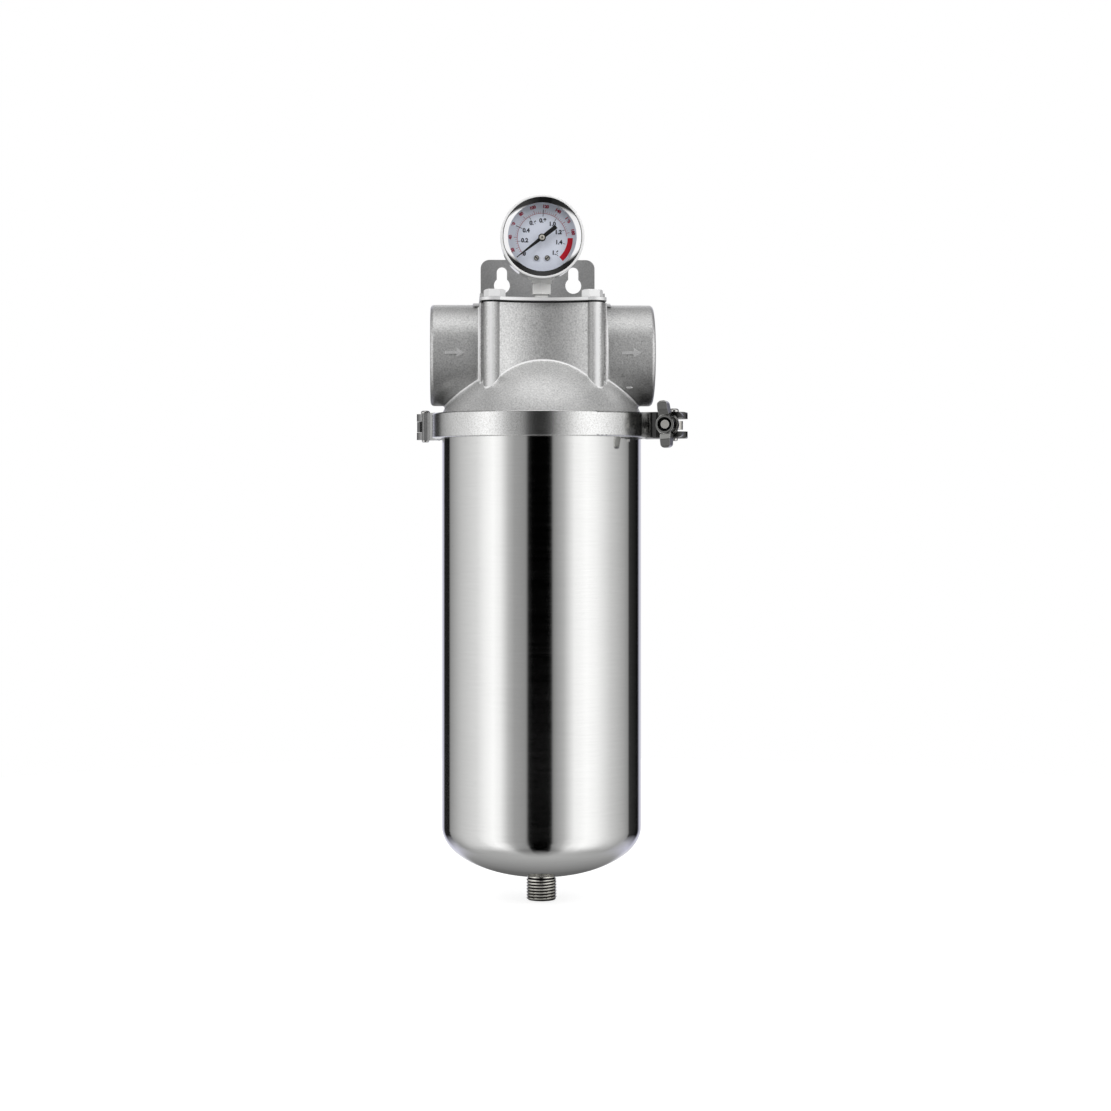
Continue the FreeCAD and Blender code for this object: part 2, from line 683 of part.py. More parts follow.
def bracket():
    inner_face = wall_distance - bracket_thickness
    outer_bend = bend_radius + bracket_thickness

    def sideView(point):
        return Vector(-foot_half_width, point.x, point.y)

    fold = outline([(-foot_front - 1, foot_bottom, 0), (wall_distance, foot_bottom, outer_bend),
                    (wall_distance, plate_top, 0), (inner_face, plate_top, 0),
                    (inner_face, foot_top, bend_radius), (-foot_front - 1, foot_top, 0)], sideView)
    sheet = fold.extrude(Vector(2 * foot_half_width, 0, 0)).common(bracketPlan(0))
    # The wall plate is a little narrower than the foot and has round corners
    half = plate_width / 2
    front_view = outline([(-half, foot_top + 5, 0), (half, foot_top + 5, 0), (half, plate_top, plate_corner),
                          (-half, plate_top, plate_corner)], inXZ)
    front_view = front_view.extrude(Vector(0, wall_distance + 1, 0))
    foot_zone = block(-foot_half_width, foot_half_width, -foot_front - 1, wall_distance + 1,
                      foot_bottom - 1, foot_top + 5)
    sheet = sheet.common(front_view.fuse(foot_zone))
    ribs = []
    for side in (-1, 1):
        outer = side * foot_half_width
        inner = side * (foot_half_width - bracket_thickness)
        rib = outline([(rib_start, foot_top - 1, 0), (rib_start + 4, foot_top + rib_height, 2.5),
                       (rib_end, foot_top + rib_height, 6), (rib_end + 8, foot_top - 1, 0)],
                      lambda point: Vector(min(outer, inner), point.x, point.y))
        ribs.append(rib.extrude(Vector(bracket_thickness, 0, 0)))
    sheet = joined([sheet] + ribs)
    cuts = [keyhole(side * keyhole_spacing / 2) for side in (-1, 1)]
    for sx in (-1, 1):
        for sy in (-1, 1):
            cuts.append(cylinder(hex_bolt_radius + 0.5, foot_bottom - 1, foot_top + 1,
                                 sx * hex_bolt_x, sy * hex_bolt_y))
    cuts.append(cylinder(gauge_thread_radius + 4.2, foot_bottom - 1, foot_top + 1))
    return sheet.cut(cuts)


def bracketPad():
    pad = bracketPlan(1.2).common(headPlan(head_top, foot_bottom))
    cuts = [cylinder(hex_bolt_radius + 0.5, head_top - 1, foot_bottom + 1, sx * hex_bolt_x, sy * hex_bolt_y)
            for sx in (-1, 1) for sy in (-1, 1)]
    cuts.append(cylinder(gauge_thread_radius + 4.2, head_top - 1, foot_bottom + 1))
    return pad.cut(cuts)


def bracketBolts():
    bolts = []
    for sx in (-1, 1):
        for sy in (-1, 1):
            x = sx * hex_bolt_x
            y = sy * hex_bolt_y
            turn = 4 + 7 * sx
            head = hexHead(hex_bolt_flats, foot_top, foot_top + hex_bolt_head, x, y, turn)
            shank = cylinder(hex_bolt_radius, foot_top - hex_bolt_length, foot_top, x, y)
            bolts.append(joined([head, shank]))
    return Part.makeCompound(bolts)


# Gauge: case, bezel, window, dial, needle, movement and tube on one threaded socket
def turnedOnGauge(corners, angle=360, start=0):
    # Corners are (radius, distance in front of the stem, rounding)
    shape = turnBy(turned(corners, angle), start)
    placed = turnedOnBolt(shape)
    placed.translate(Vector(0, 0, gauge_level))
    return placed


def gaugeCase():
    inner = gauge_case_radius - gauge_case_wall
    front = gauge_front - bezel_length + 3.5
    floor = -gauge_back + gauge_case_wall
    case = turnedOnGauge([(0, -gauge_back, 0), (gauge_case_radius, -gauge_back, 3.0),
                          (gauge_case_radius, front, 0), (inner, front, 0), (inner, floor, 0), (0, floor, 0)])
    opening = block(-saddle_half_width + 2.5, saddle_half_width - 2.5, -6.6, 6.6,
                    gauge_level - gauge_case_radius - 3, gauge_level - gauge_case_radius + 8)
    return case.cut(opening)


def gaugeBezel():
    # Ring with a narrow rim and a cone that falls to the window
    back = gauge_front - bezel_length
    seat = gauge_front - 2.6
    return turnedOnGauge([(gauge_case_radius + 0.02, back, 0), (gauge_radius, back, 0.3),
                          (gauge_radius, gauge_front, 0.7), (gauge_radius - bezel_rim, gauge_front, 0.4),
                          (window_radius, seat + 0.4, 0), (window_radius, seat, 0),
                          (gauge_case_radius + 0.02, seat, 0)])


def gaugeWindow():
    front = gauge_front - 2.6
    radius = gauge_case_radius - gauge_case_wall - 0.1
    return turnedOnGauge([(0, front - window_thickness, 0), (radius, front - window_thickness, 0),
                          (radius, front, 0), (0, front, 0)])


def dialScrewPlaces():
    return [Vector(side * dial_screw_spread, 0, gauge_level - dial_screw_drop) for side in (-1, 1)]


def gaugeDial():
    back = dial_depth - dial_thickness
    dial = turnedOnGauge([(shaft_radius + 1.2, back, 0), (dial_radius, back, 0),
                          (dial_radius, dial_depth, 0), (shaft_radius + 1.2, dial_depth, 0)])
    holes = [Part.makeCylinder(dial_screw_radius + 0.1, 20, place, forward) for place in dialScrewPlaces()]
    return dial.cut(holes)


def dialScrews():
    screws = []
    for place in dialScrewPlaces():
        shank = Part.makeCylinder(dial_screw_radius, dial_depth - 3, place + forward * 3, forward)
        head = Part.makeCylinder(dial_screw_radius + 0.7, 0.9, place + forward * dial_depth, forward)
        slot = block(place.x - 3, place.x + 3, -dial_depth - 1.2, -dial_depth - 0.55, place.z - 0.25,
                     place.z + 0.25)
        screws.append(joined([shank, head]).cut(slot))
    return Part.makeCompound(screws)


def gaugeNeedle():
    # Drawn pointing up, then laid at the pressure-free rest angle
    near = needle_depth
    far = needle_depth + needle_thickness

    def onFace(point):
        return Vector(point.x, -near, gauge_level + point.y)

    blade = outline([(-1.3, 0, 0), (-0.25, needle_reach, 0), (0.25, needle_reach, 0), (1.3, 0, 0)], onFace)
    tail = outline([(-1.35, 0, 0), (1.35, 0, 0), (1.5, -needle_tail, 0.3), (-1.5, -needle_tail, 0.3)], onFace)
    hub = turnedOnGauge([(0, near, 0), (2.7, near, 0), (2.7, far + 0.5, 0.2), (0, far + 0.5, 0)])
    thickness = forward * (far - near)
    pointer = joined([blade.extrude(thickness), tail.extrude(thickness), hub])
    pointer = pointer.cut(Part.makeCylinder(shaft_radius, 30, Vector(0, 0, gauge_level), forward))
    return turnBy(pointer, 90 - needle_rest, Vector(0, 0, gauge_level), Vector(0, 1, 0))


def needleShaft():
    # Arbor with its pinion between the movement plates and a domed cap over the needle
    far = needle_depth + needle_thickness + 0.5
    shaft = turnedOnGauge([(0, -4.2, 0), (shaft_radius, -4.2, 0), (shaft_radius, far, 0), (0, far, 0)])
    cap = turnedOnGauge([(0, far, 0), (1.9, far, 0), (1.9, far + 0.9, 0.6), (0, far + 0.9, 0)])
    pinion = turnedOnGauge([(0, -0.8, 0), (1.7, -0.8, 0), (1.7, 3.2, 0), (0, 3.2, 0)])
    return joined([shaft, pinion, cap])


def gaugeMovement():
    low = gauge_level - dial_screw_drop + 4
    high = gauge_level + 9
    plates = [block(-8, 8, -5.2, -4.2, low, high), block(-8, 8, 2, 3, low, high)]
    pillars = [Part.makeCylinder(1.3, 6.2, Vector(side * 6, 2, high - 2.2), forward) for side in (-1, 1)]
    frame = joined(plates + pillars)
    return frame.cut(Part.makeCylinder(shaft_radius + shaft_clearance, 30, Vector(0, 15, gauge_level), forward))


def bourdonTube():
    # Flattened tube curled round the movement, open at the socket and shut at the tip
    middle = -1.5
    flat = tube_half_depth - 0.8
    inner = tube_curl_radius - tube_half_width
    outer = tube_curl_radius + tube_half_width
    return turnedOnGauge([(inner, middle - flat, 0), (tube_curl_radius, middle - tube_half_depth, 0),
                          (outer, middle - flat, 0), (outer, middle + flat, 0),
                          (tube_curl_radius, middle + tube_half_depth, 0), (inner, middle + flat, 0)], 262, -78)


def gaugeSocket():
    block_top = gauge_level - dial_screw_drop + 4
    case_bottom = gauge_level - gauge_case_radius
    hex_top = gauge_hex_level + gauge_hex_height
    body = block(-7, 7, -6, 6, case_bottom - 3, block_top)
    body = body.fuse(block(-4, 4, -(dial_depth - dial_thickness), -5, gauge_level - dial_screw_drop - 3,
                           block_top).fuse(block(-6.2, 6.2, -(dial_depth - dial_thickness), -5,
                                                 gauge_level - dial_screw_drop - 2.4, block_top - 1)))
    # Saddle that closes the case round the socket
    saddle = outline([(-saddle_half_width, case_bottom + 1.9, 0), (-saddle_half_width + 3.4, hex_top + 0.4, 0.6),
                      (saddle_half_width - 3.4, hex_top + 0.4, 0.6), (saddle_half_width, case_bottom + 1.9, 0)],
                     inXZ)
    saddle.translate(Vector(0, -6, 0))
    saddle = saddle.extrude(Vector(0, 12, 0))
    outside = Part.makeCylinder(gauge_case_radius + 0.02, 40, Vector(0, 20, gauge_level), forward)
    saddle = saddle.cut(outside)
    neck = cylinder(4.9, hex_top - 1, case_bottom)
    flats = hexHead(gauge_hex_flats, gauge_hex_level, hex_top, 0, 0, 30)
    thread = cylinder(gauge_thread_radius, head_top - gauge_thread_length, gauge_hex_level)
    socket = joined([body, saddle, neck, flats, thread])
    holes = [Part.makeCylinder(dial_screw_radius + 0.03, 7, place + forward * 2.5, forward)
             for place in dialScrewPlaces()]
    holes.append(cylinder(1.5, head_top - gauge_thread_length - 1, block_top - 6))
    holes.append(bourdonTube())
    return socket.cut(holes)


def gaugeSeal():
    inner = gauge_thread_radius + 0.1
    return turned([(inner, head_top, 0), (inner + 2.6, head_top, 0), (inner + 2.6, head_top + 1.5, 0.4),
                   (inner, head_top + 1.5, 0)])


# Strainer element: perforated tube in a mesh sleeve between two caps on a tie rod
def supportTube():
    outer = element_radius - mesh_wall - mesh_gap
    bottom = element_bottom + 2
    top = element_top - 2
    tube = turned([(outer - tube_wall, bottom, 0), (outer, bottom, 0), (outer, top, 0),
                   (outer - tube_wall, top, 0)])
    length = top - bottom
    pitch = length / window_rows
    drills = []
    for row in range(window_rows):
        level = bottom + pitch * (row + 0.5)
        for column in range(window_columns // 2):
            angle = math.pi * 2 / window_columns * (column + 0.5 * (row % 2))
            direction = Vector(math.cos(angle), math.sin(angle), 0)
            drills.append(Part.makeCylinder(window_hole_radius, 2 * outer + 4,
                                            Vector(0, 0, level) - direction * (outer + 2), direction))
    return tube.cut(drills)


def meshSleeve():
    bottom = element_bottom + 2
    top = element_top - 2
    inner = element_radius - mesh_wall
    return turned([(inner, bottom, 0), (element_radius, bottom, 0), (element_radius, top, 0), (inner, top, 0)])


def elementCap(outer_face, inner_face, collar_radius_inner, collar_end):
    # Shallow pan that holds the ends of the tube and the mesh, with a collar in its middle
    direction = 1 if inner_face > outer_face else -1
    floor = outer_face + direction * 2
    groove_inner = element_radius - mesh_wall - mesh_gap - tube_wall - 0.1
    wall = collar_radius_inner + 3
    corners = [(collar_radius_inner, outer_face, 0), (element_cap_radius, outer_face, 0),
               (element_cap_radius, inner_face, 0), (element_radius + 0.1, inner_face, 0),
               (element_radius + 0.1, floor, 0), (groove_inner, floor, 0),
               (groove_inner, floor + direction * 3, 0), (groove_inner - 1.5, floor + direction * 3, 0),
               (groove_inner - 1.5, floor, 0), (wall, floor, 0), (wall, collar_end, 0),
               (collar_radius_inner, collar_end, 0)]
    return turned(corners)


def elementTopCap():
    bore = spigot_radius + collar_clearance
    cap = elementCap(element_top, element_top - element_cap_height, bore, element_top - 14)
    groove_mid = element_top - 7
    groove = turned([(bore - 1, groove_mid - ring_section, 0), (bore + 1.6, groove_mid - ring_section, 0),
                     (bore + 1.6, groove_mid + ring_section, 0), (bore - 1, groove_mid + ring_section, 0)])
    return cap.cut(groove)


def elementSeal():
    bore = spigot_radius + collar_clearance
    level = element_top - 7
    return Part.makeTorus(bore + 0.72, 0.8, Vector(0, 0, level))


def elementBottomCap():
    return elementCap(element_bottom, element_bottom + element_cap_height, rod_radius + 0.4,
                      element_bottom + 8)


def tieRod():
    bottom = element_bottom - rod_below
    return turned([(0, bottom, 0), (rod_radius - 1, bottom, 0), (rod_radius, bottom + 1, 0),
                   (rod_radius, head_face, 0), (0, head_face, 0)])


def elementWasher():
    inner = rod_radius + 0.3
    under = element_bottom - element_washer_thickness
    return turned([(inner, under, 0), (11, under, 0), (11, element_bottom, 0), (inner, element_bottom, 0)])


def elementNut():
    top = element_bottom - element_washer_thickness
    bottom = top - element_nut_height
    nut = hexagon(element_nut_flats, bottom, top)
    return nut.cut(cylinder(rod_radius + nut_clearance, bottom - 1, top + 1))


save("bowl", bowlShell())
save("bowl_flange", bowlFlange())
save("drain_nipple", drainNipple())
save("body_seal", bodySeal())
save("head_casting", headCasting())
save("outlet_duct", outletDuct())
save("clamp_front_half", clampFrontHalf())
save("closure_fork", closureFork())
save("clamp_rear_half", clampRearHalf())
save("hinge_pin", rivetPin(-hinge_reach, hinge_setback))
save("swing_bolt_pin", rivetPin(closure_reach, closure_setback))
save("swing_bolt", swingBolt())
save("nut_washer", nutWasher())
save("wing_nut", wingNut())
save("bracket", bracket())
save("bracket_pad", bracketPad())
save("bracket_bolts", bracketBolts())
save("gauge_case", gaugeCase())
save("gauge_bezel", gaugeBezel())
save("gauge_window", gaugeWindow())
save("gauge_dial", gaugeDial())
save("dial_screws", dialScrews())
save("gauge_needle", gaugeNeedle())
save("needle_shaft", needleShaft())
save("gauge_movement", gaugeMovement())
save("bourdon_tube", bourdonTube())
save("gauge_socket", gaugeSocket())
save("gauge_seal", gaugeSeal())
save("support_tube", supportTube())
save("mesh_sleeve", meshSleeve())
save("element_top_cap", elementTopCap())
save("element_seal", elementSeal())
save("element_bottom_cap", elementBottomCap())
save("tie_rod", tieRod())
save("element_washer", elementWasher())
save("element_nut", elementNut())
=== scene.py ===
import bpy
import bmesh
import json
import math
from mathutils import Matrix, Vector


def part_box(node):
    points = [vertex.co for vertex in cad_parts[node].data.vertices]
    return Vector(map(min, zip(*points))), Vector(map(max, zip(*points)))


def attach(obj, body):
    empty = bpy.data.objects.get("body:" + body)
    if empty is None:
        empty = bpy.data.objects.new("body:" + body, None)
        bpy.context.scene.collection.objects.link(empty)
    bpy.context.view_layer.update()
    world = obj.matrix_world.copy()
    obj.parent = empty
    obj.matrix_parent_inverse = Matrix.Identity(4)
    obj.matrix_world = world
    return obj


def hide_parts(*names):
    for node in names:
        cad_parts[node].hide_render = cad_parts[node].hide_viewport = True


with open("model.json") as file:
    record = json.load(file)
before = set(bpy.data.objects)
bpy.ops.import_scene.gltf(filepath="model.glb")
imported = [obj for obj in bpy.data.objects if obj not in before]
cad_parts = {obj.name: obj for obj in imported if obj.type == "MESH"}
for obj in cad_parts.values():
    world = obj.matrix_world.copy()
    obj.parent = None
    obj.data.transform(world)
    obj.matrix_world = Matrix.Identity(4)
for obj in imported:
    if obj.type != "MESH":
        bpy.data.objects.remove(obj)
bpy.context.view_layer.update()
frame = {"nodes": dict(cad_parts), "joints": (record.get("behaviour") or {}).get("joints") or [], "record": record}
nodes = frame["nodes"]
scene = bpy.context.scene
scene.view_settings.view_transform = "Standard"
mm = 0.001
print("frame loaded:", len(nodes), "nodes")

# Camera: level, a little left of the dial's axis, about 1.65 m away
camera = {
    "distance": 1.650,
    "height": 0.2823,
    "azimuth": -2.0,
    "widthAtAxis": 0.7821,
    "axisShift": 0.0126,
    "horizonShift": -0.0518,
    "sensorWidth": 36,
    "clip": (0.05, 50),
}


def makeCamera():
    data = bpy.data.cameras.new("studioCamera")
    data.sensor_width = camera["sensorWidth"]
    data.lens = camera["sensorWidth"] * camera["distance"] / camera["widthAtAxis"]
    data.shift_x = camera["axisShift"]
    data.shift_y = camera["horizonShift"]
    data.clip_start, data.clip_end = camera["clip"]
    eye = bpy.data.objects.new("studioCamera", data)
    turn = math.radians(camera["azimuth"])
    eye.location = (camera["distance"] * math.sin(turn), -camera["distance"] * math.cos(turn),
                    camera["height"])
    eye.rotation_euler = (math.radians(90), 0, turn)
    scene.collection.objects.link(eye)
    scene.camera = eye


makeCamera()
print("camera placed")


# Small helpers for shader trees
class Tree:
    def __init__(self, owner):
        self.nodes = owner.nodes
        self.links = owner.links

    def add(self, kind, inputs=None, **settings):
        node = self.nodes.new("ShaderNode" + kind)
        for name, value in settings.items():
            setattr(node, name, value)
        for name, value in (inputs or {}).items():
            self.feed(node.inputs[name], value)
        return node

    def feed(self, socket, value):
        if isinstance(value, bpy.types.NodeSocket):
            self.links.new(value, socket)
        else:
            socket.default_value = value

    def math(self, operation, *values):
        node = self.add("Math", operation=operation)
        for socket, value in zip(node.inputs, values):
            self.feed(socket, value)
        return node.outputs[0]

    def vector(self, operation, *values):
        node = self.add("VectorMath", dict(enumerate(values)), operation=operation)
        single = operation in ("DISTANCE", "DOT_PRODUCT", "LENGTH")
        return node.outputs["Value" if single else "Vector"]

    def ramp(self, value, stops):
        node = self.add("ValToRGB")
        node.color_ramp.interpolation = "LINEAR"
        elements = node.color_ramp.elements
        while len(elements) < len(stops):
            elements.new(0.5)
        for element, (place, level) in zip(elements, stops):
            element.position = place
            colour = level if isinstance(level, (tuple, list)) else (level, level, level)
            element.color = (*colour[:3], 1)
        self.links.new(value, node.inputs[0])
        return node.outputs[0]

    def between(self, value, low, high, newLow=0.0, newHigh=1.0, kind="LINEAR"):
        node = self.add("MapRange", interpolation_type=kind)
        for socket, number in zip(node.inputs, (value, low, high, newLow, newHigh)):
            self.feed(socket, number)
        return node.outputs[0]

    def blend(self, factor, first, second, kind="MIX"):
        # A mix node keeps its two colours in sockets 6 and 7, and gives the colour out in 2
        node = self.add("Mix", data_type="RGBA", blend_type=kind)
        self.feed(node.inputs[0], factor)
        self.feed(node.inputs[6], first)
        self.feed(node.inputs[7], second)
        return node.outputs[2]

    def product(self, *values):
        total = values[0]
        for value in values[1:]:
            total = self.math("MULTIPLY", total, value)
        return total

    def length(self, first, second):
        squares = self.math("ADD", self.product(first, first), self.product(second, second))
        return self.math("SQRT", squares)

    def place(self):
        return self.add("TexCoord").outputs["Object"]

    def split(self, vector):
        return self.add("SeparateXYZ", {0: vector}).outputs

    def fromAxis(self, place, point, direction):
        # How far along a line a place lies, and how far off it
        offset = self.vector("SUBTRACT", place, point)
        along = self.vector("DOT_PRODUCT", offset, direction)
        onLine = self.add("VectorMath", {0: direction, "Scale": along}, operation="SCALE")
        return along, self.vector("DISTANCE", offset, onLine.outputs[0])


def rgb(value):
    if isinstance(value, (int, float)):
        value = (value, value, value)
    return (*value, 1)


# Studio: a ring of soft boxes round the part, a light from overhead, and dark gaps that give
# polished steel its stripes. Levels go by degrees: ring and sideGaps round from the front towards
# the right, ringHeight, lowFrom, lowFull and above up from the horizon
studio = {
    "facing": -2.0,
    "ring": [(-180, 0.80), (-160, (0.64, 0.64, 0.76)), (-151, 0.015), (-133.5, 0.01), (-131, 0.25),
             (-127, 0.30), (-106, 0.53), (-80, 0.72), (-68, 0.92), (-57, 1.05), (-48, 0.90),
             (-38, 0.48), (-31, 0.34), (-17.5, 0.27), (-15, 0.01), (-10, 0.0), (8, 0.0), (11, 0.01),
             (13.5, 0.25), (25, 0.45), (38, 0.92), (53, 1.05), (65, 0.95), (87, 0.60), (111, 0.36),
             (118.5, 0.26), (121, 0.035), (131, 0.02), (148, 0.0), (157, (0.55, 0.55, 0.66)),
             (180, 0.80)],
    "sideGaps": [(-155, -129), (115, 150)],
    "lowFrom": -14,
    "lowFull": -27,
    "ringHeight": [(-90, 0.32), (-70, 0.42), (-56, 0.60), (-44, 0.88), (-36, 1.0), (32, 1.0),
                   (44, 0.0), (90, 0.0)],
    "overheadBehind": 0.35,
    "overheadFade": (-0.25, 0.35),
    "above": [(-90, 0.03), (-62, 0.0), (42, 0.0), (52, 0.25), (64, 0.80), (76, 1.05), (90, 1.1)],
    "lamps": [("lampLeft", (-1.3, -1.5, 1.9), 26.0, 1.1),
              ("lampRight", (1.3, -1.5, 1.8), 24.0, 1.1),
              ("lampBack", (0.2, 1.9, 1.6), 14.0, 1.4)],
    "lampTarget": (0, 0, 0.3),
    "floorLevel": -0.0006,
    "floorRadius": 0.9,
    "floorSegments": 96,
    "floorPaint": 0.50,
    "floorGlow": 0.80,
    "floorGreyMiddle": (0, 0.03, 0),
    "floorGrey": [(0.0, 0.10), (0.2, 0.14), (0.35, 0.28), (0.5, 0.42), (1.0, 0.5)],
    "floorGreySpan": 0.20,
    "floorGlossReach": (0.065, 0.105),
    "floorBounce": 0.10,
}


def aroundStops(stops):
    return [((degrees + 180) / 360, level) for degrees, level in stops]


def upStops(stops):
    return [((degrees + 90) / 180, level) for degrees, level in stops]


def makeWorld():
    world = bpy.data.worlds.new("studio")
    scene.world = world
    world.use_nodes = True
    tree = Tree(world.node_tree)
    tree.nodes.clear()
    direction = tree.add("TexCoord").outputs["Generated"]
    parts = tree.split(direction)
    angle = tree.math("ARCTAN2", parts[0], tree.math("MULTIPLY", parts[1], -1.0))
    turned = tree.math("ADD", angle, math.radians(-studio["facing"]))
    # The ramp starts half a turn from the front, and a whole turn more keeps the share above zero
    around = tree.math("FRACT", tree.math("ADD", tree.math("DIVIDE", turned, 2 * math.pi), 1.5))
    rise = tree.math("ADD", tree.math("DIVIDE", tree.math("ARCSINE", parts[2]), math.pi), 0.5)
    ring = tree.ramp(around, aroundStops(studio["ring"]))
    # Low down the two side gaps close, so that only the front one reaches the floor
    kept = [stop for stop in studio["ring"]
            if not any(first < stop[0] < last for first, last in studio["sideGaps"])]
    lowRing = tree.ramp(around, aroundStops(kept))
    lowFrom, lowFull = (studio["lowFrom"] + 90) / 180, (studio["lowFull"] + 90) / 180
    ring = tree.blend(tree.between(rise, lowFrom, lowFull), ring, lowRing)
    height = tree.ramp(rise, upStops(studio["ringHeight"]))
    above = tree.ramp(rise, upStops(studio["above"]))
    front = tree.between(parts[1], *studio["overheadFade"], 1.0, studio["overheadBehind"])
    above = tree.blend(1.0, above, front, "MULTIPLY")
    total = tree.blend(1.0, tree.blend(1.0, ring, height, "MULTIPLY"), above, "ADD")
    path = tree.add("LightPath").outputs
    seen = tree.blend(path["Is Camera Ray"], total, rgb(1.0))
    background = tree.add("Background", {"Color": seen, "Strength": 1.0})
    output = tree.add("OutputWorld")
    tree.links.new(background.outputs[0], output.inputs[0])


def makeLamps():
    for name, place, power, size in studio["lamps"]:
        data = bpy.data.lights.new(name, "AREA")
        data.energy = power
        data.shape = "SQUARE"
        data.size = size
        lamp = bpy.data.objects.new(name, data)
        lamp.location = place
        toward = Vector(studio["lampTarget"]) - Vector(place)
        lamp.rotation_euler = toward.to_track_quat("-Z", "Y").to_euler()
        lamp.visible_glossy = False
        lamp.visible_transmission = False
        lamp.visible_camera = False
        scene.collection.objects.link(lamp)


def makeFloor():
    mesh = bpy.data.meshes.new("floor")
    form = bmesh.new()
    bmesh.ops.create_circle(form, cap_ends=True, segments=studio["floorSegments"],
                            radius=studio["floorRadius"],
                            matrix=Matrix.Translation((0, 0, studio["floorLevel"])))
    form.to_mesh(mesh)
    form.free()
    floor = bpy.data.objects.new("floor", mesh)
    scene.collection.objects.link(floor)
    material = bpy.data.materials.new("paleFloor")
    material.use_nodes = True
    tree = Tree(material.node_tree)
    tree.nodes.clear()
    flat = tree.vector("MULTIPLY", tree.place(), (1, 1, 0))
    away = tree.vector("LENGTH", flat)
    near, far = studio["floorGlossReach"]
    path = tree.add("LightPath").outputs
    paint = tree.add("BsdfPrincipled", {"Base Color": rgb(studio["floorPaint"]), "Roughness": 1.0,
                                        "Specular IOR Level": 0.0, "Emission Color": rgb(1.0),
                                        "Emission Strength": studio["floorGlow"]})
    # Steel mirrors the floor near the part only, as a patch of grey that pales outwards, darkest in the middle as
    # a painted shadow under the part
    behind = tree.vector("DISTANCE", flat, studio["floorGreyMiddle"])
    tone = tree.ramp(tree.math("DIVIDE", behind, studio["floorGreySpan"]), studio["floorGrey"])
    grey = tree.add("Emission", {"Color": tone, "Strength": 1.0})
    clear = tree.add("BsdfTransparent")
    mirrored = tree.add("MixShader", {0: tree.between(away, near, far, 1.0, 0.0, "SMOOTHSTEP")})
    tree.links.new(clear.outputs[0], mirrored.inputs[1])
    tree.links.new(grey.outputs[0], mirrored.inputs[2])
    # Seen by the camera it is white with a soft shadow; it throws little light up under the part
    bounce = tree.add("BsdfDiffuse", {"Color": rgb(studio["floorBounce"])})
    seen = tree.add("MixShader", {0: path["Is Diffuse Ray"]})
    tree.links.new(paint.outputs[0], seen.inputs[1])
    tree.links.new(bounce.outputs[0], seen.inputs[2])
    whole = tree.add("MixShader", {0: path["Is Glossy Ray"]})
    tree.links.new(seen.outputs[0], whole.inputs[1])
    tree.links.new(mirrored.outputs[0], whole.inputs[2])
    output = tree.add("OutputMaterial")
    tree.links.new(whole.outputs[0], output.inputs[0])
    mesh.materials.append(material)


makeWorld()
makeLamps()
makeFloor()
print("studio lit")


# Shared surface effects, each a node group placed in the materials that need it
def newGroup(name, inputs, outputs):
    group = bpy.data.node_groups.new(name, "ShaderNodeTree")
    for label, kind, value in inputs:
        socket = group.interface.new_socket(label, in_out="INPUT", socket_type=kind)
        socket.default_value = value
    for label, kind in outputs:
        group.interface.new_socket(label, in_out="OUTPUT", socket_type=kind)
    tree = Tree(group)
    source = tree.nodes.new("NodeGroupInput")
    target = tree.nodes.new("NodeGroupOutput")
    return group, tree, source.outputs, target.inputs


def makeSpeckle():
    # Fine bright and dark grains of a blasted or rolled skin, with slow cloudy patches
    group, tree, given, out = newGroup("Speckle", [
        ("Grain Size", "NodeSocketFloat", 0.0005), ("Grain Strength", "NodeSocketFloat", 0.1),
        ("Cloud Size", "NodeSocketFloat", 0.02), ("Cloud Strength", "NodeSocketFloat", 0.1)],
        [("Shade", "NodeSocketFloat"), ("Height", "NodeSocketFloat")])
    place = tree.place()
    fine = tree.add("TexNoise", {"Vector": place, "Scale": tree.math("DIVIDE", 1.0, given[0]),
                                 "Detail": 2.0, "Roughness": 0.6}).outputs[0]
    cloud = tree.add("TexNoise", {"Vector": place, "Scale": tree.math("DIVIDE", 1.0, given[2]),
                                  "Detail": 3.0, "Roughness": 0.55}).outputs[0]
    fineShade = tree.math("MULTIPLY", tree.math("SUBTRACT", fine, 0.5), given[1])
    cloudShade = tree.math("MULTIPLY", tree.math("SUBTRACT", cloud, 0.5), given[3])
    tree.links.new(tree.math("ADD", tree.math("ADD", fineShade, cloudShade), 1.0), out[0])
    tree.links.new(fine, out[1])
    return group


def makeTurnedLines():
    # Hairlines that run round the upright axis, as a lathe or a polishing belt leaves them
    group, tree, given, out = newGroup("Turned Lines", [
        ("Line Width", "NodeSocketFloat", 0.0004), ("Wander", "NodeSocketFloat", 0.02)],
        [("Lines", "NodeSocketFloat")])
    parts = tree.split(tree.place())
    stretched = tree.add("CombineXYZ", {0: tree.math("MULTIPLY", parts[0], given[1]),
                                        1: tree.math("MULTIPLY", parts[1], given[1]), 2: parts[2]})
    lines = tree.add("TexNoise", {"Vector": stretched.outputs[0],
                                  "Scale": tree.math("DIVIDE", 1.0, given[0]), "Detail": 3.0})
    tree.links.new(lines.outputs[0], out[0])
    return group


def makeHandlingMarks():
    # Sparse small dark marks, gathered in patches
    group, tree, given, out = newGroup("Handling Marks", [
        ("Mark Scale", "NodeSocketFloat", 400.0), ("Depth", "NodeSocketFloat", 0.1)],
        [("Shade", "NodeSocketFloat")])
    patchScale, patchSpan, markSpan = 30.0, (0.55, 0.65), (0.70, 0.76)
    place = tree.place()
    noise = tree.add("TexNoise", {"Vector": place, "Scale": given[0], "Detail": 1.0}).outputs[0]
    patch = tree.add("TexNoise", {"Vector": place, "Scale": patchScale, "Detail": 0.0}).outputs[0]
    both = tree.product(tree.between(noise, *markSpan), tree.between(patch, *patchSpan))
    tree.links.new(tree.product(both, given[1]), out[0])
    return group


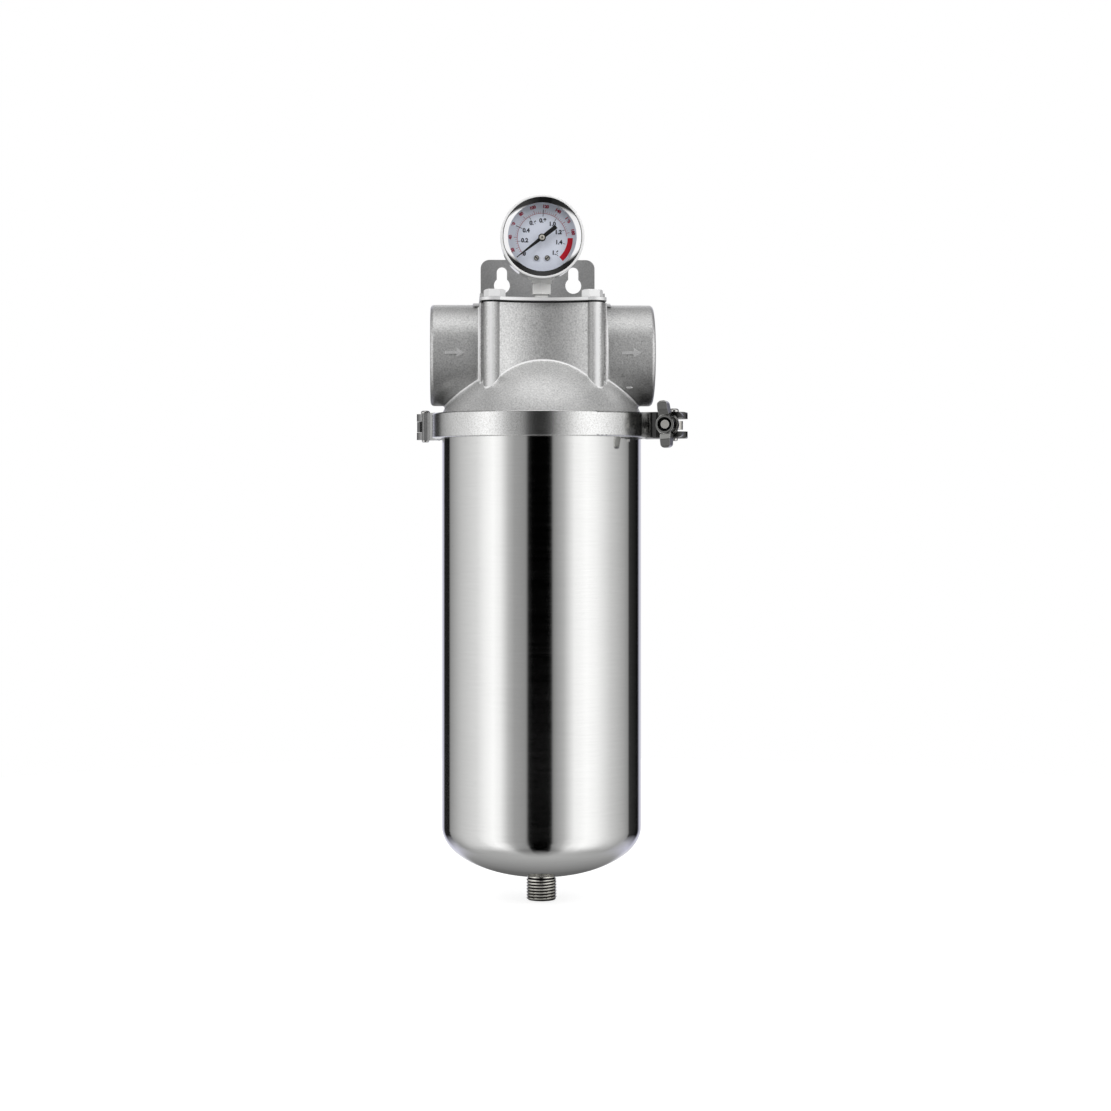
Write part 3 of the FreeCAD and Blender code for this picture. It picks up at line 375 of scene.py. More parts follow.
def makeEdgeHighlight():
    # Where the surface lies within a short reach of an edge, the mask for a painted edge highlight
    group, tree, given, out = newGroup("Edge Highlight", [("Reach", "NodeSocketFloat", 0.0005)],
                                       [("Edge", "NodeSocketFloat")])
    edgeSpan = (0.90, 0.98)
    soft = tree.add("Bevel", {"Radius": given[0]}, samples=6).outputs[0]
    true = tree.add("NewGeometry").outputs["True Normal"]
    likeness = tree.vector("DOT_PRODUCT", soft, true)
    tree.links.new(tree.between(likeness, *edgeSpan, 1.0, 0.0), out[0])
    return group


speckle = makeSpeckle()
turnedLines = makeTurnedLines()
handlingMarks = makeHandlingMarks()
edgeHighlight = makeEdgeHighlight()


def newMaterial(name, look, **more):
    material = bpy.data.materials.new(name)
    material.use_nodes = True
    tree = Tree(material.node_tree)
    tree.nodes.clear()
    surface = tree.add("BsdfPrincipled", {"Base Color": rgb(look["colour"]),
                                          "Metallic": look.get("metallic", 1.0),
                                          "Roughness": look["roughness"]})
    for label, value in more.items():
        tree.feed(surface.inputs[label.replace("_", " ")], value)
    output = tree.add("OutputMaterial")
    tree.links.new(surface.outputs[0], output.inputs[0])
    return material, tree, surface


def placeGroup(tree, group, **values):
    node = tree.nodes.new("ShaderNodeGroup")
    node.node_tree = group
    for label, value in values.items():
        tree.feed(node.inputs[label.replace("_", " ")], value)
    return node.outputs


def bumped(tree, surface, height, distance, under=None):
    bump = tree.add("Bump", {"Height": height, "Distance": distance, "Strength": 1.0})
    if under:
        tree.links.new(under, bump.inputs["Normal"])
    tree.links.new(bump.outputs[0], surface.inputs["Normal"])
    return bump.outputs[0]


def shaded(tree, colour, shade):
    return tree.blend(1.0, rgb(colour), shade, "MULTIPLY")


def speckled(tree, look):
    return placeGroup(tree, speckle, Grain_Size=look["grain"], Grain_Strength=look["grainStrength"],
                      Cloud_Size=look["cloudSize"], Cloud_Strength=look["cloudStrength"])


def marked(tree, look):
    return placeGroup(tree, handlingMarks, Mark_Scale=1.0 / look["markSize"], Depth=look["mark"])[0]


# Plain finishes, with lengths in metres. What they don't say is as in plainMetal or plainSkin
plainMetal = {
    "grain": 0.0005, "grainStrength": 0.15, "grainHeight": 0.000006, "cloudSize": 0.01,
    "cloudStrength": 0.1,
}
plainSkin = {"metallic": 0.0, "grain": 0.0004, "grainStrength": 0.05, "cloudSize": 0.01}
finishes = {
    "turned": {"colour": (0.80, 0.79, 0.77), "roughness": 0.16},
    # The bolts' near-white, barely metallic colour is a painted reflection standing for their glare
    "bright": {"colour": (0.98, 0.98, 0.98), "metallic": 0.15, "roughness": 0.16,
               "grainStrength": 0.05, "cloudStrength": 0.05, "grainHeight": 0.000002},
    "chrome": {"colour": (0.92, 0.92, 0.93), "roughness": 0.04, "grainStrength": 0.02,
               "cloudStrength": 0.02, "grainHeight": 0.0000005},
    # The socket's chrome is given as plain near-white paint, a painted reflection standing for its glare
    "socket": {"colour": (1.0, 1.0, 0.98), "metallic": 0.0, "roughness": 0.12,
               "grainStrength": 0.02, "cloudStrength": 0.02, "grainHeight": 0.0000005},
    # The raised marks are paler than the casting, a painted highlight on their raised faces
    "mark": {"colour": (0.86, 0.86, 0.86), "metallic": 0.6, "roughness": 0.3,
             "grainStrength": 0.6, "cloudStrength": 0.2, "grainHeight": 0.00005},
    "inner": {"colour": (0.72, 0.72, 0.72), "roughness": 0.30},
    "brass": {"colour": (0.72, 0.56, 0.30), "roughness": 0.30},
    "rubber": {"colour": (0.02, 0.02, 0.02), "roughness": 0.70, "grainStrength": 0.2},
    "dial": {"colour": (0.80, 0.84, 0.95), "roughness": 0.55, "grainStrength": 0.03},
    "needle": {"colour": (0.008, 0.008, 0.009), "roughness": 0.7},
    "red": {"colour": (0.62, 0.012, 0.03), "roughness": 0.5},
    "redInk": {"colour": (0.40, 0.03, 0.07), "roughness": 0.5},
    "blackInk": {"colour": (0.012, 0.012, 0.025), "roughness": 0.5},
    "glass": {"colour": (1, 1, 1), "metallic": 0.0, "roughness": 0.0, "index": 1.12, "alpha": 0.15},
}


def grainedMetal(name, key):
    look = {**plainMetal, **finishes[key]}
    material, tree, surface = newMaterial(name, look)
    grains = speckled(tree, look)
    tree.links.new(shaded(tree, look["colour"], grains[0]), surface.inputs["Base Color"])
    bumped(tree, surface, grains[1], look["grainHeight"])
    return material


def plainPaint(name, key):
    look = {**plainSkin, **finishes[key]}
    look["cloudStrength"] = look["grainStrength"]
    material, tree, surface = newMaterial(name, look)
    skin = shaded(tree, look["colour"], speckled(tree, look)[0])
    tree.links.new(skin, surface.inputs["Base Color"])
    return material


def clearGlass():
    look = finishes["glass"]
    return newMaterial("clearGlass", look, Transmission_Weight=1.0, IOR=look["index"],
                       Alpha=look["alpha"])[0]


# Deep drawn bowl: polished steel with hairlines round it, clouds and a few handling marks
bowlLook = {
    "colour": (0.93, 0.93, 0.92), "roughness": 0.075, "grain": 0.0006, "grainStrength": 0.05,
    "cloudSize": 0.05, "cloudStrength": 0.06, "lineWidth": 0.0006, "wander": 0.03,
    "lineHeight": 0.0000025, "lineShade": 0.10, "lineSpan": (0.3, 0.7),
    "glossSpread": (-0.02, 0.03), "mark": 0.05, "markSize": 0.0022,
}


def bowlSteel():
    look = bowlLook
    material, tree, surface = newMaterial("bowlSteel", look)
    lines = placeGroup(tree, turnedLines, Line_Width=look["lineWidth"], Wander=look["wander"])[0]
    cloud = speckled(tree, look)
    band = tree.math("MULTIPLY", tree.math("SUBTRACT", lines, 0.5), look["lineShade"])
    shade = tree.math("SUBTRACT", tree.math("ADD", cloud[0], band), marked(tree, look))
    tree.links.new(shaded(tree, look["colour"], shade), surface.inputs["Base Color"])
    gloss = [look["roughness"] + shift for shift in look["glossSpread"]]
    tree.links.new(tree.between(lines, *look["lineSpan"], *gloss), surface.inputs["Roughness"])
    bumped(tree, surface, lines, look["lineHeight"])
    return material


# Blasted casting, in metres but for the two painted-shade tables: painted highlights run along its creases
# and column crests, its threaded bores are cut bright. creaseRise and creaseFall are shares of creaseWidth
casting = {
    "colour": (0.76, 0.76, 0.755), "metallic": 0.72, "roughness": 0.34,
    "grain": 0.0011, "grainStrength": 1.1, "grainHeight": 0.00012, "cloudSize": 0.018,
    "cloudStrength": 0.22, "mark": 0.35, "markSize": 0.003,
    "domeLevel": 0.3079, "domeRadius": 0.0776, "creaseWidth": 0.0008, "creaseRise": (0.12, 0.3),
    "creaseFall": (0.8, 1.4), "creaseHighlightColour": 0.97, "creaseHighlightMetallic": 0.1,
    "ridgeX": 0.0363, "ridgeWidth": 0.0032, "ridgeDepth": 0.0386, "ridgeShare": 0.9,
    "cornerDepth": 0.0362,
    # Painted shade by distance across the columns and by rise under the ports, in millimetres
    "columnShade": [(30.1, 1.0), (30.3, 0.6), (33.0, 0.6), (34.6, 1.0), (38.0, 1.0), (39.8, 0.7),
                   (41.4, 0.55), (41.6, 1.0)],
    "portUnderShade": [(-36.0, 0.34), (-30.0, 0.42), (-18.0, 0.68), (-8.0, 0.92), (0.0, 1.0)],
    "portStart": 0.0460, "portLevel": 0.38235, "portRadius": 0.0355, "portSlack": 0.0002,
    "wallX": 0.0439, "rootWidth": 0.0012, "rootTop": 0.033, "rootRise": (0.00003, 0.0003),
    "rootFall": (0.0001, 0.0003), "besideSlack": (0.0001, 0.0002),
    "boreRadius": 0.0292, "boreStart": 0.0515, "boreRoughness": 0.2, "threadPitch": 0.0023,
}


def toneAlong(tree, distance, stops):
    # A table of shares by distance in millimetres, read at a distance in metres
    first, last = stops[0][0] * mm, stops[-1][0] * mm
    return tree.ramp(tree.between(distance, first, last),
                     [((place * mm - first) / (last - first), share) for place, share in stops])


def castSteel():
    look = casting
    material, tree, surface = newMaterial("castSteel", look)
    grains = speckled(tree, look)
    place = tree.place()
    parts = tree.split(place)
    across = tree.math("ABSOLUTE", parts[0])
    outward = tree.math("ABSOLUTE", parts[1])
    # Painted highlight along the dome's crease: the shell just outside the sphere
    fromDome = tree.vector("DISTANCE", place, (0, 0, look["domeLevel"]))
    proud = tree.math("SUBTRACT", fromDome, look["domeRadius"])
    width = look["creaseWidth"]
    offDome = tree.math("GREATER_THAN", proud, width)
    rising = [width * share for share in look["creaseRise"]]
    falling = [width * share for share in look["creaseFall"]]
    creaseHighlight = tree.product(tree.between(proud, *rising, 0.0, 1.0, "SMOOTHSTEP"),
                          tree.between(proud, *falling, 1.0, 0.0, "SMOOTHSTEP"))
    # Painted highlight round each port where it leaves the body
    rise = tree.math("SUBTRACT", parts[2], look["portLevel"])
    fromPort = tree.length(parts[1], rise)
    rising = [look["portRadius"] + step for step in look["rootRise"]]
    falling = [look["portRadius"] + look["rootWidth"] + step for step in look["rootFall"]]
    rootHighlight = tree.product(tree.between(fromPort, *rising), tree.between(fromPort, *falling, 1.0, 0.0))
    before, after = look["besideSlack"]
    beside = tree.product(tree.math("GREATER_THAN", across, look["wallX"] - before),
                          tree.math("LESS_THAN", across, look["wallX"] + look["rootWidth"] + after))
    rootHighlight = tree.product(rootHighlight, beside, tree.math("LESS_THAN", rise, look["rootTop"]))
    # Painted highlight along the crest of each bolt column
    offRidge = tree.math("ABSOLUTE", tree.math("SUBTRACT", across, look["ridgeX"]))
    crest = tree.between(offRidge, 0.0, look["ridgeWidth"], look["ridgeShare"], 0.0, "SMOOTHSTEP")
    ridgeHighlight = tree.product(crest, tree.math("GREATER_THAN", outward, look["ridgeDepth"]), offDome)
    # Painted shade in the corners beside the columns, on the columns' outer flanks and under the ports
    onColumn = tree.product(tree.math("GREATER_THAN", outward, look["cornerDepth"]), offDome)
    onPort = tree.product(tree.math("GREATER_THAN", across, look["portStart"]),
                          tree.math("LESS_THAN", fromPort, look["portRadius"] + look["portSlack"]))
    tone = toneAlong(tree, across, look["columnShade"])
    under = toneAlong(tree, rise, look["portUnderShade"])
    shade = tree.math("SUBTRACT", grains[0], marked(tree, look))
    # Painted shade multiplied into the skin on the columns and under the ports
    shade = tree.blend(onColumn, shade, tree.blend(1.0, shade, tone, "MULTIPLY"))
    shade = tree.blend(onPort, shade, tree.blend(1.0, shade, under, "MULTIPLY"))
    # Painted highlights along the creases, the port roots and the column crests, near-white and less metallic
    bright = tree.math("MAXIMUM", tree.math("MAXIMUM", creaseHighlight, rootHighlight), ridgeHighlight)
    bore = tree.product(tree.math("LESS_THAN", fromPort, look["boreRadius"]),
                        tree.math("GREATER_THAN", across, look["boreStart"]))
    skin = shaded(tree, look["colour"], shade)
    tree.links.new(tree.blend(bright, skin, rgb(look["creaseHighlightColour"])),
                   surface.inputs["Base Color"])
    tree.links.new(tree.between(bore, 0.0, 1.0, look["roughness"], look["boreRoughness"]),
                   surface.inputs["Roughness"])
    tree.links.new(tree.between(bright, 0.0, 1.0, look["metallic"], look["creaseHighlightMetallic"]),
                   surface.inputs["Metallic"])
    # Grain everywhere, and thread grooves in the bores
    grained = bumped(tree, surface, grains[1], look["grainHeight"])
    turn = tree.math("DIVIDE", tree.math("ARCTAN2", rise, parts[1]), 2 * math.pi)
    pitches = tree.math("ADD", tree.math("DIVIDE", parts[0], look["threadPitch"]), turn)
    wave = tree.math("PINGPONG", pitches, 0.5)
    bumped(tree, surface, tree.product(wave, bore), look["threadPitch"], grained)
    return material


# Clamp band, in metres: finished bright, with darker lugs cast on its ends, and painted shade near the closure
closure = next(joint for joint in frame["joints"] if joint["name"] == "wing_nut_turn")
clampLook = {
    "colour": (0.95, 0.95, 0.94), "roughness": 0.22, "grain": 0.0010, "grainStrength": 0.7,
    "grainHeight": 0.00001, "cloudSize": 0.012, "cloudStrength": 0.12,
    "lugStart": 0.0800, "lugFade": (-0.0005, 0.001), "lugShade": 0.32,
    "closureShadeReach": (0.038, 0.055), "closureShadeLevel": 0.42,
}


def clampSteel():
    look = clampLook
    material, tree, surface = newMaterial("clampSteel", look)
    grains = speckled(tree, look)
    place = tree.place()
    away = tree.fromAxis(place, (0, 0, 0), (0, 0, 1))[1]
    reach = [look["lugStart"] + shift for shift in look["lugFade"]]
    lug = tree.between(away, *reach, 1.0, look["lugShade"])
    # Painted shade on the band near the closure, darkest next to it
    fromClosure = tree.vector("DISTANCE", place, tuple(closure["pos_m"]))
    closureShade = tree.between(fromClosure, *look["closureShadeReach"], look["closureShadeLevel"], 1.0, "SMOOTHSTEP")
    tone = tree.product(grains[0], lug, closureShade)
    tree.links.new(shaded(tree, look["colour"], tone), surface.inputs["Base Color"])
    bumped(tree, surface, grains[1], look["grainHeight"])
    return material


# Closure, in metres along and off the bolt's axis: the nut's counterbore and the bolt's bevelled end are
# painted near-black as painted shadow, and the edges of both carry a painted highlight
closureLook = {
    "wing": {"colour": (0.36, 0.36, 0.35), "roughness": 0.12},
    "bolt": {"colour": (0.85, 0.83, 0.78), "roughness": 0.25},
    "grain": 0.0008, "grainStrength": 0.3, "grainHeight": 0.000008, "cloudSize": 0.006,
    "cloudStrength": 0.2, "edgeReach": 0.0005, "edgeHighlightColour": 0.98, "dark": 0.02,
    "mouthRadius": 0.00496, "mouthStart": 0.0276, "bevelRadius": 0.0032, "bevelStart": 0.0274,
}


def mouthOf(tree, along, away):
    return (tree.math("GREATER_THAN", along, closureLook["mouthStart"]),
            tree.math("LESS_THAN", away, closureLook["mouthRadius"]))


def bevelOf(tree, along, away):
    return (tree.math("GREATER_THAN", along, closureLook["bevelStart"]),
            tree.math("GREATER_THAN", away, closureLook["bevelRadius"]))


def closureSteel(name, key, darkest):
    look = {**closureLook, **closureLook[key]}
    material, tree, surface = newMaterial(name, look)
    grains = speckled(tree, look)
    along, away = tree.fromAxis(tree.place(), tuple(closure["pos_m"]), tuple(closure["axis"]))
    # Painted shadow: near-black in the nut's counterbore and on the bolt's bevelled end
    dark = tree.product(*darkest(tree, along, away))
    # Painted highlight along the edges of the nut and the bolt
    edge = placeGroup(tree, edgeHighlight, Reach=look["edgeReach"])[0]
    highlighted = tree.blend(edge, shaded(tree, look["colour"], grains[0]), rgb(look["edgeHighlightColour"]))
    tree.links.new(tree.blend(dark, highlighted, rgb(look["dark"])), surface.inputs["Base Color"])
    bumped(tree, surface, grains[1], look["grainHeight"])
    return material


# The dial's two screws, each with a dark edge and a slot
screwLow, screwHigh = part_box("dial_screws")
screwLook = {
    "colour": (0.52, 0.50, 0.46), "metallic": 0.2, "roughness": 0.3, "slotWidth": 0.0006,
    "rim": 0.72, "shade": 0.08,
}


def screwSteel():
    # The pair lies to left and right of the middle
    look = screwLook
    material, tree, surface = newMaterial("screwSteel", look)
    parts = tree.split(tree.place())
    radius = (screwHigh[2] - screwLow[2]) / 2
    aside = tree.math("SUBTRACT", tree.math("ABSOLUTE", parts[0]), screwHigh[0] - radius)
    rise = tree.math("SUBTRACT", parts[2], screwLow[2] + radius)
    slanted = tree.math("ABSOLUTE", tree.math("SUBTRACT", rise, aside))
    slot = tree.math("LESS_THAN", slanted, look["slotWidth"])
    edge = tree.math("GREATER_THAN", tree.length(aside, rise), radius * look["rim"])
    dark = tree.math("MAXIMUM", slot, edge)
    tree.links.new(tree.blend(dark, rgb(look["colour"]), rgb(look["shade"])),
                   surface.inputs["Base Color"])
    return material


# Gauge ring, in metres: chrome with a pale, plain rim as a painted reflection, and painted near-black crescents in
# its cone above and below, standing for the dark it reflects there. The arcs go by rise over distance from the
# middle
gaugeLow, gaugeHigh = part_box("gauge_bezel")
bezel = {
    "level": (gaugeLow[2] + gaugeHigh[2]) / 2, "rimStart": 0.02765, "seamStart": 0.02715,
    "coneMiddle": 0.0260, "arcTop": 0.66, "arcBottom": 0.50, "arcBlend": 0.08, "taper": 110.0,
    "rimColour": 0.97, "rimPlain": 0.85, "dark": 0.012, "grain": 0.0006, "grainStrength": 0.05,
    "grainHeight": 0.0000005, "cloudSize": 0.01, "cloudStrength": 0.05,
}


def bezelChrome():
    look = {**finishes["chrome"], **bezel}
    material, tree, surface = newMaterial("bezelChrome", look)
    place = tree.place()
    parts = tree.split(place)
    away = tree.fromAxis(place, (0, 0, look["level"]), (0, 1, 0))[1]
    rise = tree.math("DIVIDE", tree.math("SUBTRACT", parts[2], look["level"]), away)
    # Each painted dark crescent tapers towards the seam at its ends
    outer = tree.math("MULTIPLY", tree.math("SUBTRACT", away, look["coneMiddle"]), look["taper"])
    arcTop, arcBottom, blend = look["arcTop"], look["arcBottom"], look["arcBlend"]
    top = tree.between(tree.math("ADD", rise, outer), arcTop - blend, arcTop + blend)
    bottom = tree.between(tree.math("SUBTRACT", outer, rise), arcBottom - blend, arcBottom + blend)
    rim = tree.math("GREATER_THAN", away, look["rimStart"])
    cone = tree.math("SUBTRACT", 1.0, rim)
    seam = tree.product(cone, tree.math("GREATER_THAN", away, look["seamStart"]))
    dark = tree.math("MAXIMUM", tree.product(cone, tree.math("MAXIMUM", top, bottom)), seam)
    # The rim painted pale and mostly plain, a painted reflection that stays bright all round
    colour = tree.blend(rim, rgb(look["colour"]), rgb(look["rimColour"]))
    tree.links.new(tree.blend(dark, colour, rgb(look["dark"])), surface.inputs["Base Color"])
    plain = tree.math("MAXIMUM", dark, tree.math("MULTIPLY", rim, look["rimPlain"]))
    tree.links.new(tree.math("SUBTRACT", 1.0, plain), surface.inputs["Metallic"])
    bumped(tree, surface, speckled(tree, look)[1], look["grainHeight"])
    return material


# Needle's hub, with a dark dot in the middle
hubLook = {
    "colour": (0.66, 0.63, 0.56), "metallic": 0.3, "roughness": 0.25, "centre": 0.0008,
    "centreShare": 0.7, "shade": 0.08,
}


def hubSteel():
    look = hubLook
    material, tree, surface = newMaterial("hubSteel", look)
    away = tree.fromAxis(tree.place(), (0, 0, bezel["level"]), (0, 1, 0))[1]
    centre = tree.between(away, look["centre"] * look["centreShare"], look["centre"], 1.0, 0.0)
    tree.links.new(tree.blend(centre, rgb(look["colour"]), rgb(look["shade"])),
                   surface.inputs["Base Color"])
    return material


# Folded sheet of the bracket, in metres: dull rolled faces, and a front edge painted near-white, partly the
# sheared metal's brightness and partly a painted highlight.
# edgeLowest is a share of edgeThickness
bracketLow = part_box("bracket")[0]
sheet = {
    "colour": (0.37, 0.37, 0.37), "metallic": 0.45, "roughness": 0.36, "grain": 0.0011,
    "grainStrength": 0.7, "grainHeight": 0.00001, "cloudSize": 0.012, "cloudStrength": 0.16,
    "edgeHighlightColour": 0.95, "edgeThickness": 0.0022, "edgeLowest": 0.04, "edgeDepth": 0.016,
}


def bracketSteel():
    look = sheet
    material, tree, surface = newMaterial("bracketSteel", look)
    grains = speckled(tree, look)
    parts = tree.split(tree.place())
    height = tree.math("SUBTRACT", parts[2], bracketLow[2])
    depth = tree.math("SUBTRACT", parts[1], bracketLow[1])
    thickness = look["edgeThickness"]
    # The lower front edge painted near-white: sheared metal and a painted highlight
    edge = tree.product(tree.math("LESS_THAN", height, thickness),
                        tree.math("LESS_THAN", depth, look["edgeDepth"]),
                        tree.math("GREATER_THAN", height, thickness * look["edgeLowest"]))
    skin = shaded(tree, look["colour"], grains[0])
    tree.links.new(tree.blend(edge, skin, rgb(look["edgeHighlightColour"])), surface.inputs["Base Color"])
    bumped(tree, surface, grains[1], look["grainHeight"])
    return material


# One look for each material slot, and looks of their own for six nodes
looks = {
    "bowl_steel": bowlSteel(),
    "cast_steel": castSteel(),
    "clamp_steel": clampSteel(),
    "turned_steel": grainedMetal("turnedSteel", "turned"),
    "bracket_steel": bracketSteel(),
    "bright_bolt": grainedMetal("brightBolt", "bright"),
    "gauge_chrome": grainedMetal("gaugeChrome", "chrome"),
    "inner_steel": grainedMetal("innerSteel", "inner"),
    "gauge_brass": grainedMetal("gaugeBrass", "brass"),
    "black_rubber": plainPaint("blackRubber", "rubber"),
    "dial_face": plainPaint("dialFace", "dial"),
    "needle_black": plainPaint("needleBlack", "needle"),
    "clear_glass": clearGlass(),
}
redPaint = plainPaint("redPaint", "red")
redInk = plainPaint("redInk", "redInk")
blackInk = plainPaint("blackInk", "blackInk")

nodeLooks = {
    "gauge_socket": grainedMetal("socketPaintedReflection", "socket"),
    "gauge_bezel": bezelChrome(),
    "dial_screws": screwSteel(),
    "needle_shaft": hubSteel(),
    "wing_nut": closureSteel("wingSteel", "wing", mouthOf),
    "swing_bolt": closureSteel("boltSteel", "bolt", bevelOf),
}

slotOf = {entry["node"]: entry["material_slot"] for entry in frame["record"]["subparts"]}
for name, node in nodes.items():
    node.data.materials.clear()
    node.data.materials.append(nodeLooks.get(name, looks[slotOf[name]]))
print("materials given to", len(nodes), "nodes")


def newPiece(name, mesh, body, material, smooth=True):
    piece = bpy.data.objects.new(name, mesh)
    scene.collection.objects.link(piece)
    mesh.materials.clear()
    mesh.materials.append(material)
    if smooth:
        mesh.polygons.foreach_set("use_smooth", [True] * len(mesh.polygons))
    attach(piece, body)
    return piece


def meshFrom(name, points, faces):
    mesh = bpy.data.meshes.new(name)
    mesh.from_pydata([tuple(point) for point in points], [], faces)
    mesh.validate()
    mesh.update()
    return mesh


# Drain nipple with its cut thread, in millimetres up from its lower end
nipple = {
    "radius": 10.48, "bore": 7.5, "chamfer": 0.8, "pitch": 2.12, "depth": 1.1, "grooveShare": 0.29,
    "threadEnd": 14.6, "runOut": 1.0, "neckStart": 14.9, "neckEnd": 15.9, "neckRadius": 9.5,
    "top": 19.8, "segments": 128, "stepsPerTurn": 14, "plainStep": 0.3, "creaseAngle": 50,
}

# Its steel, with painted shade down in the grooves, in metres off the nipple's axis
threadLook = {
    "colour": (0.95, 0.93, 0.86), "roughness": 0.10, "glossSpread": 0.05, "lineWidth": 0.0003,
    "wander": 0.02, "lineSpan": (0.3, 0.7), "grooveShadeColour": 0.02, "grooveSpan": (0.0097, 0.01035),
    "grooveInside": 0.0085,
}


def threadSteel():
    look = threadLook
    material, tree, surface = newMaterial("threadSteel", look)
    lines = placeGroup(tree, turnedLines, Line_Width=look["lineWidth"], Wander=look["wander"])[0]
    away = tree.fromAxis(tree.place(), (0, 0, 0), (0, 0, 1))[1]
    grooveShade = tree.product(tree.between(away, *look["grooveSpan"], 1.0, 0.0),
                        tree.math("GREATER_THAN", away, look["grooveInside"]))
    # Painted shade: the grooves' floors near-black
    tree.links.new(tree.blend(grooveShade, rgb(look["colour"]), rgb(look["grooveShadeColour"])),
                   surface.inputs["Base Color"])
    rough = look["roughness"]
    tree.links.new(tree.between(lines, *look["lineSpan"], rough, rough + look["glossSpread"]),
                   surface.inputs["Roughness"])
    return material


def nippleReach(height, turn):
    # Outer radius at a height and a share of a turn: chamfer, thread, plain collar, neck, collar
    look = nipple
    if height > look["threadEnd"]:
        inNeck = look["neckStart"] < height < look["neckEnd"]
        return look["neckRadius"] if inNeck else look["radius"]
    edge = look["radius"]
    if height <= look["chamfer"]:
        edge = look["radius"] - look["chamfer"] + height
    phase = (height / look["pitch"] - turn) % 1.0
    groove = max(0.0, 1.0 - abs(phase - 0.5) / look["grooveShare"])
    fade = min(1.0, max(0.0, (look["threadEnd"] - height) / look["runOut"]))
    return min(edge, look["radius"] - look["depth"] * groove * fade)


def drainNipple():
    look = nipple
    count = look["segments"]
    levels = []
    level = 0.0
    while level < look["top"]:
        levels.append(level)
        threaded = level < look["threadEnd"]
        level += look["pitch"] / look["stepsPerTurn"] if threaded else look["plainStep"]
    levels.append(look["top"])
    points = []
    rings = []

    def addRing(height, reach):
        ring = []
        for index in range(count):
            angle = 2 * math.pi * index / count
            radius = reach(height, index / count) * mm
            ring.append(len(points))
            points.append((radius * math.cos(angle), radius * math.sin(angle), height * mm))
        rings.append(ring)

    for height in levels:
        addRing(height, nippleReach)
    # The bore closes the ring of profiles at the top and again at the bottom
    for height in (look["top"], 0.0):
        addRing(height, lambda height, turn: look["bore"])
    rings.append(rings[0])
    faces = []
    for lower, upper in zip(rings, rings[1:]):
        for index in range(count):
            following = (index + 1) % count
            faces.append((lower[index], lower[following], upper[following], upper[index]))
    mesh = meshFrom("drainThread", points, faces)
    piece = newPiece("drainThread", mesh, "housing", threadSteel())
    mesh.set_sharp_from_angle(angle=math.radians(look["creaseAngle"]))
    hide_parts("drain_nipple")


drainNipple()
print("drain nipple threaded")

# Gauge dial print: two scales, numbers, the warning band. Radii in millimetres, angles in degrees
# from three o'clock, anticlockwise
dialLow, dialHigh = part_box("gauge_dial")
dial = {
    "level": (dialLow[2] + dialHigh[2]) / 2 / mm, "front": -dialLow[1] / mm, "lift": 0.05,
    "start": 222.0, "sweep": 270.0, "circle": 17.3, "circleEnd": 4.0, "circleHalf": 0.14,
    "outerFrom": 226.4, "outerStep": 23.9, "outerCount": 10, "fineCount": 5, "outerUnits": 20,
    "outerNumber": 22.1, "outerSize": 2.9, "wideTick": 2.4, "wideWidth": 0.30, "fineTick": 1.5,
    "fineWidth": 0.17,
    "innerCount": 8, "innerUnits": 0.2, "innerNumber": 12.2, "innerSize": 4.0, "zeroNumber": 16.6,
    "lastNumber": 14.0, "innerTick": (2.2, -0.4), "innerWidth": 0.36, "longTicks": (2, 4),
    "longTick": (2.2, 2.6), "longWidth": 0.42,
    "bold": 0.19, "textLift": 0.01, "bandFrom": 0.0, "bandTo": -47.5, "bandInner": 18.0,
    "bandOuter": 21.7, "bandLift": 0.02,
}


def onDial(radius, degrees, lift=0.0):
    angle = math.radians(degrees)
    return Vector((radius * mm * math.cos(angle), -(dial["front"] + dial["lift"] + lift) * mm,
                   dial["level"] * mm + radius * mm * math.sin(angle)))


def sector(points, faces, inner, outer, start, end, lift=0.0, step=2.0):
    pieces = max(1, int(abs(end - start) / step))
    for index in range(pieces):
        first = start + (end - start) * index / pieces
        second = start + (end - start) * (index + 1) / pieces
        base = len(points)
        points.extend([onDial(inner, first, lift), onDial(outer, first, lift),
                       onDial(outer, second, lift), onDial(inner, second, lift)])
        faces.append((base, base + 1, base + 2, base + 3))


def tick(points, faces, degrees, inner, outer, width):
    half = math.degrees(width / 2 / ((inner + outer) / 2))
    sector(points, faces, inner, outer, degrees + half, degrees - half, step=90)


def printOnDial(name, mesh, ink):
    newPiece(name, mesh, "housing", ink, smooth=False)


def outerScale():
    circle = dial["circle"]
    fineCount = dial["fineCount"]
    points, faces = [], []
    sector(points, faces, circle - dial["circleHalf"], circle + dial["circleHalf"], dial["start"],
           dial["circleEnd"])
    for index in range((dial["outerCount"] - 1) * fineCount + 1):
        degrees = dial["outerFrom"] - dial["outerStep"] * index / fineCount
        if degrees > dial["start"]:
            continue
        kind = "fine" if index % fineCount else "wide"
        tick(points, faces, degrees, circle, circle + dial[kind + "Tick"], dial[kind + "Width"])
    printOnDial("dialOuterScale", meshFrom("dialOuterScale", points, faces), redInk)


def innerScale():
    circle = dial["circle"]
    points, faces = [], []
    for index in range(dial["innerCount"] + 1):
        degrees = dial["start"] - dial["sweep"] * index / dial["innerCount"]
        kind = "long" if index in dial["longTicks"] else "inner"
        inward, outward = dial[kind + "Tick"]
        tick(points, faces, degrees, circle - inward, circle + outward, dial[kind + "Width"])
    printOnDial("dialInnerScale", meshFrom("dialInnerScale", points, faces), blackInk)


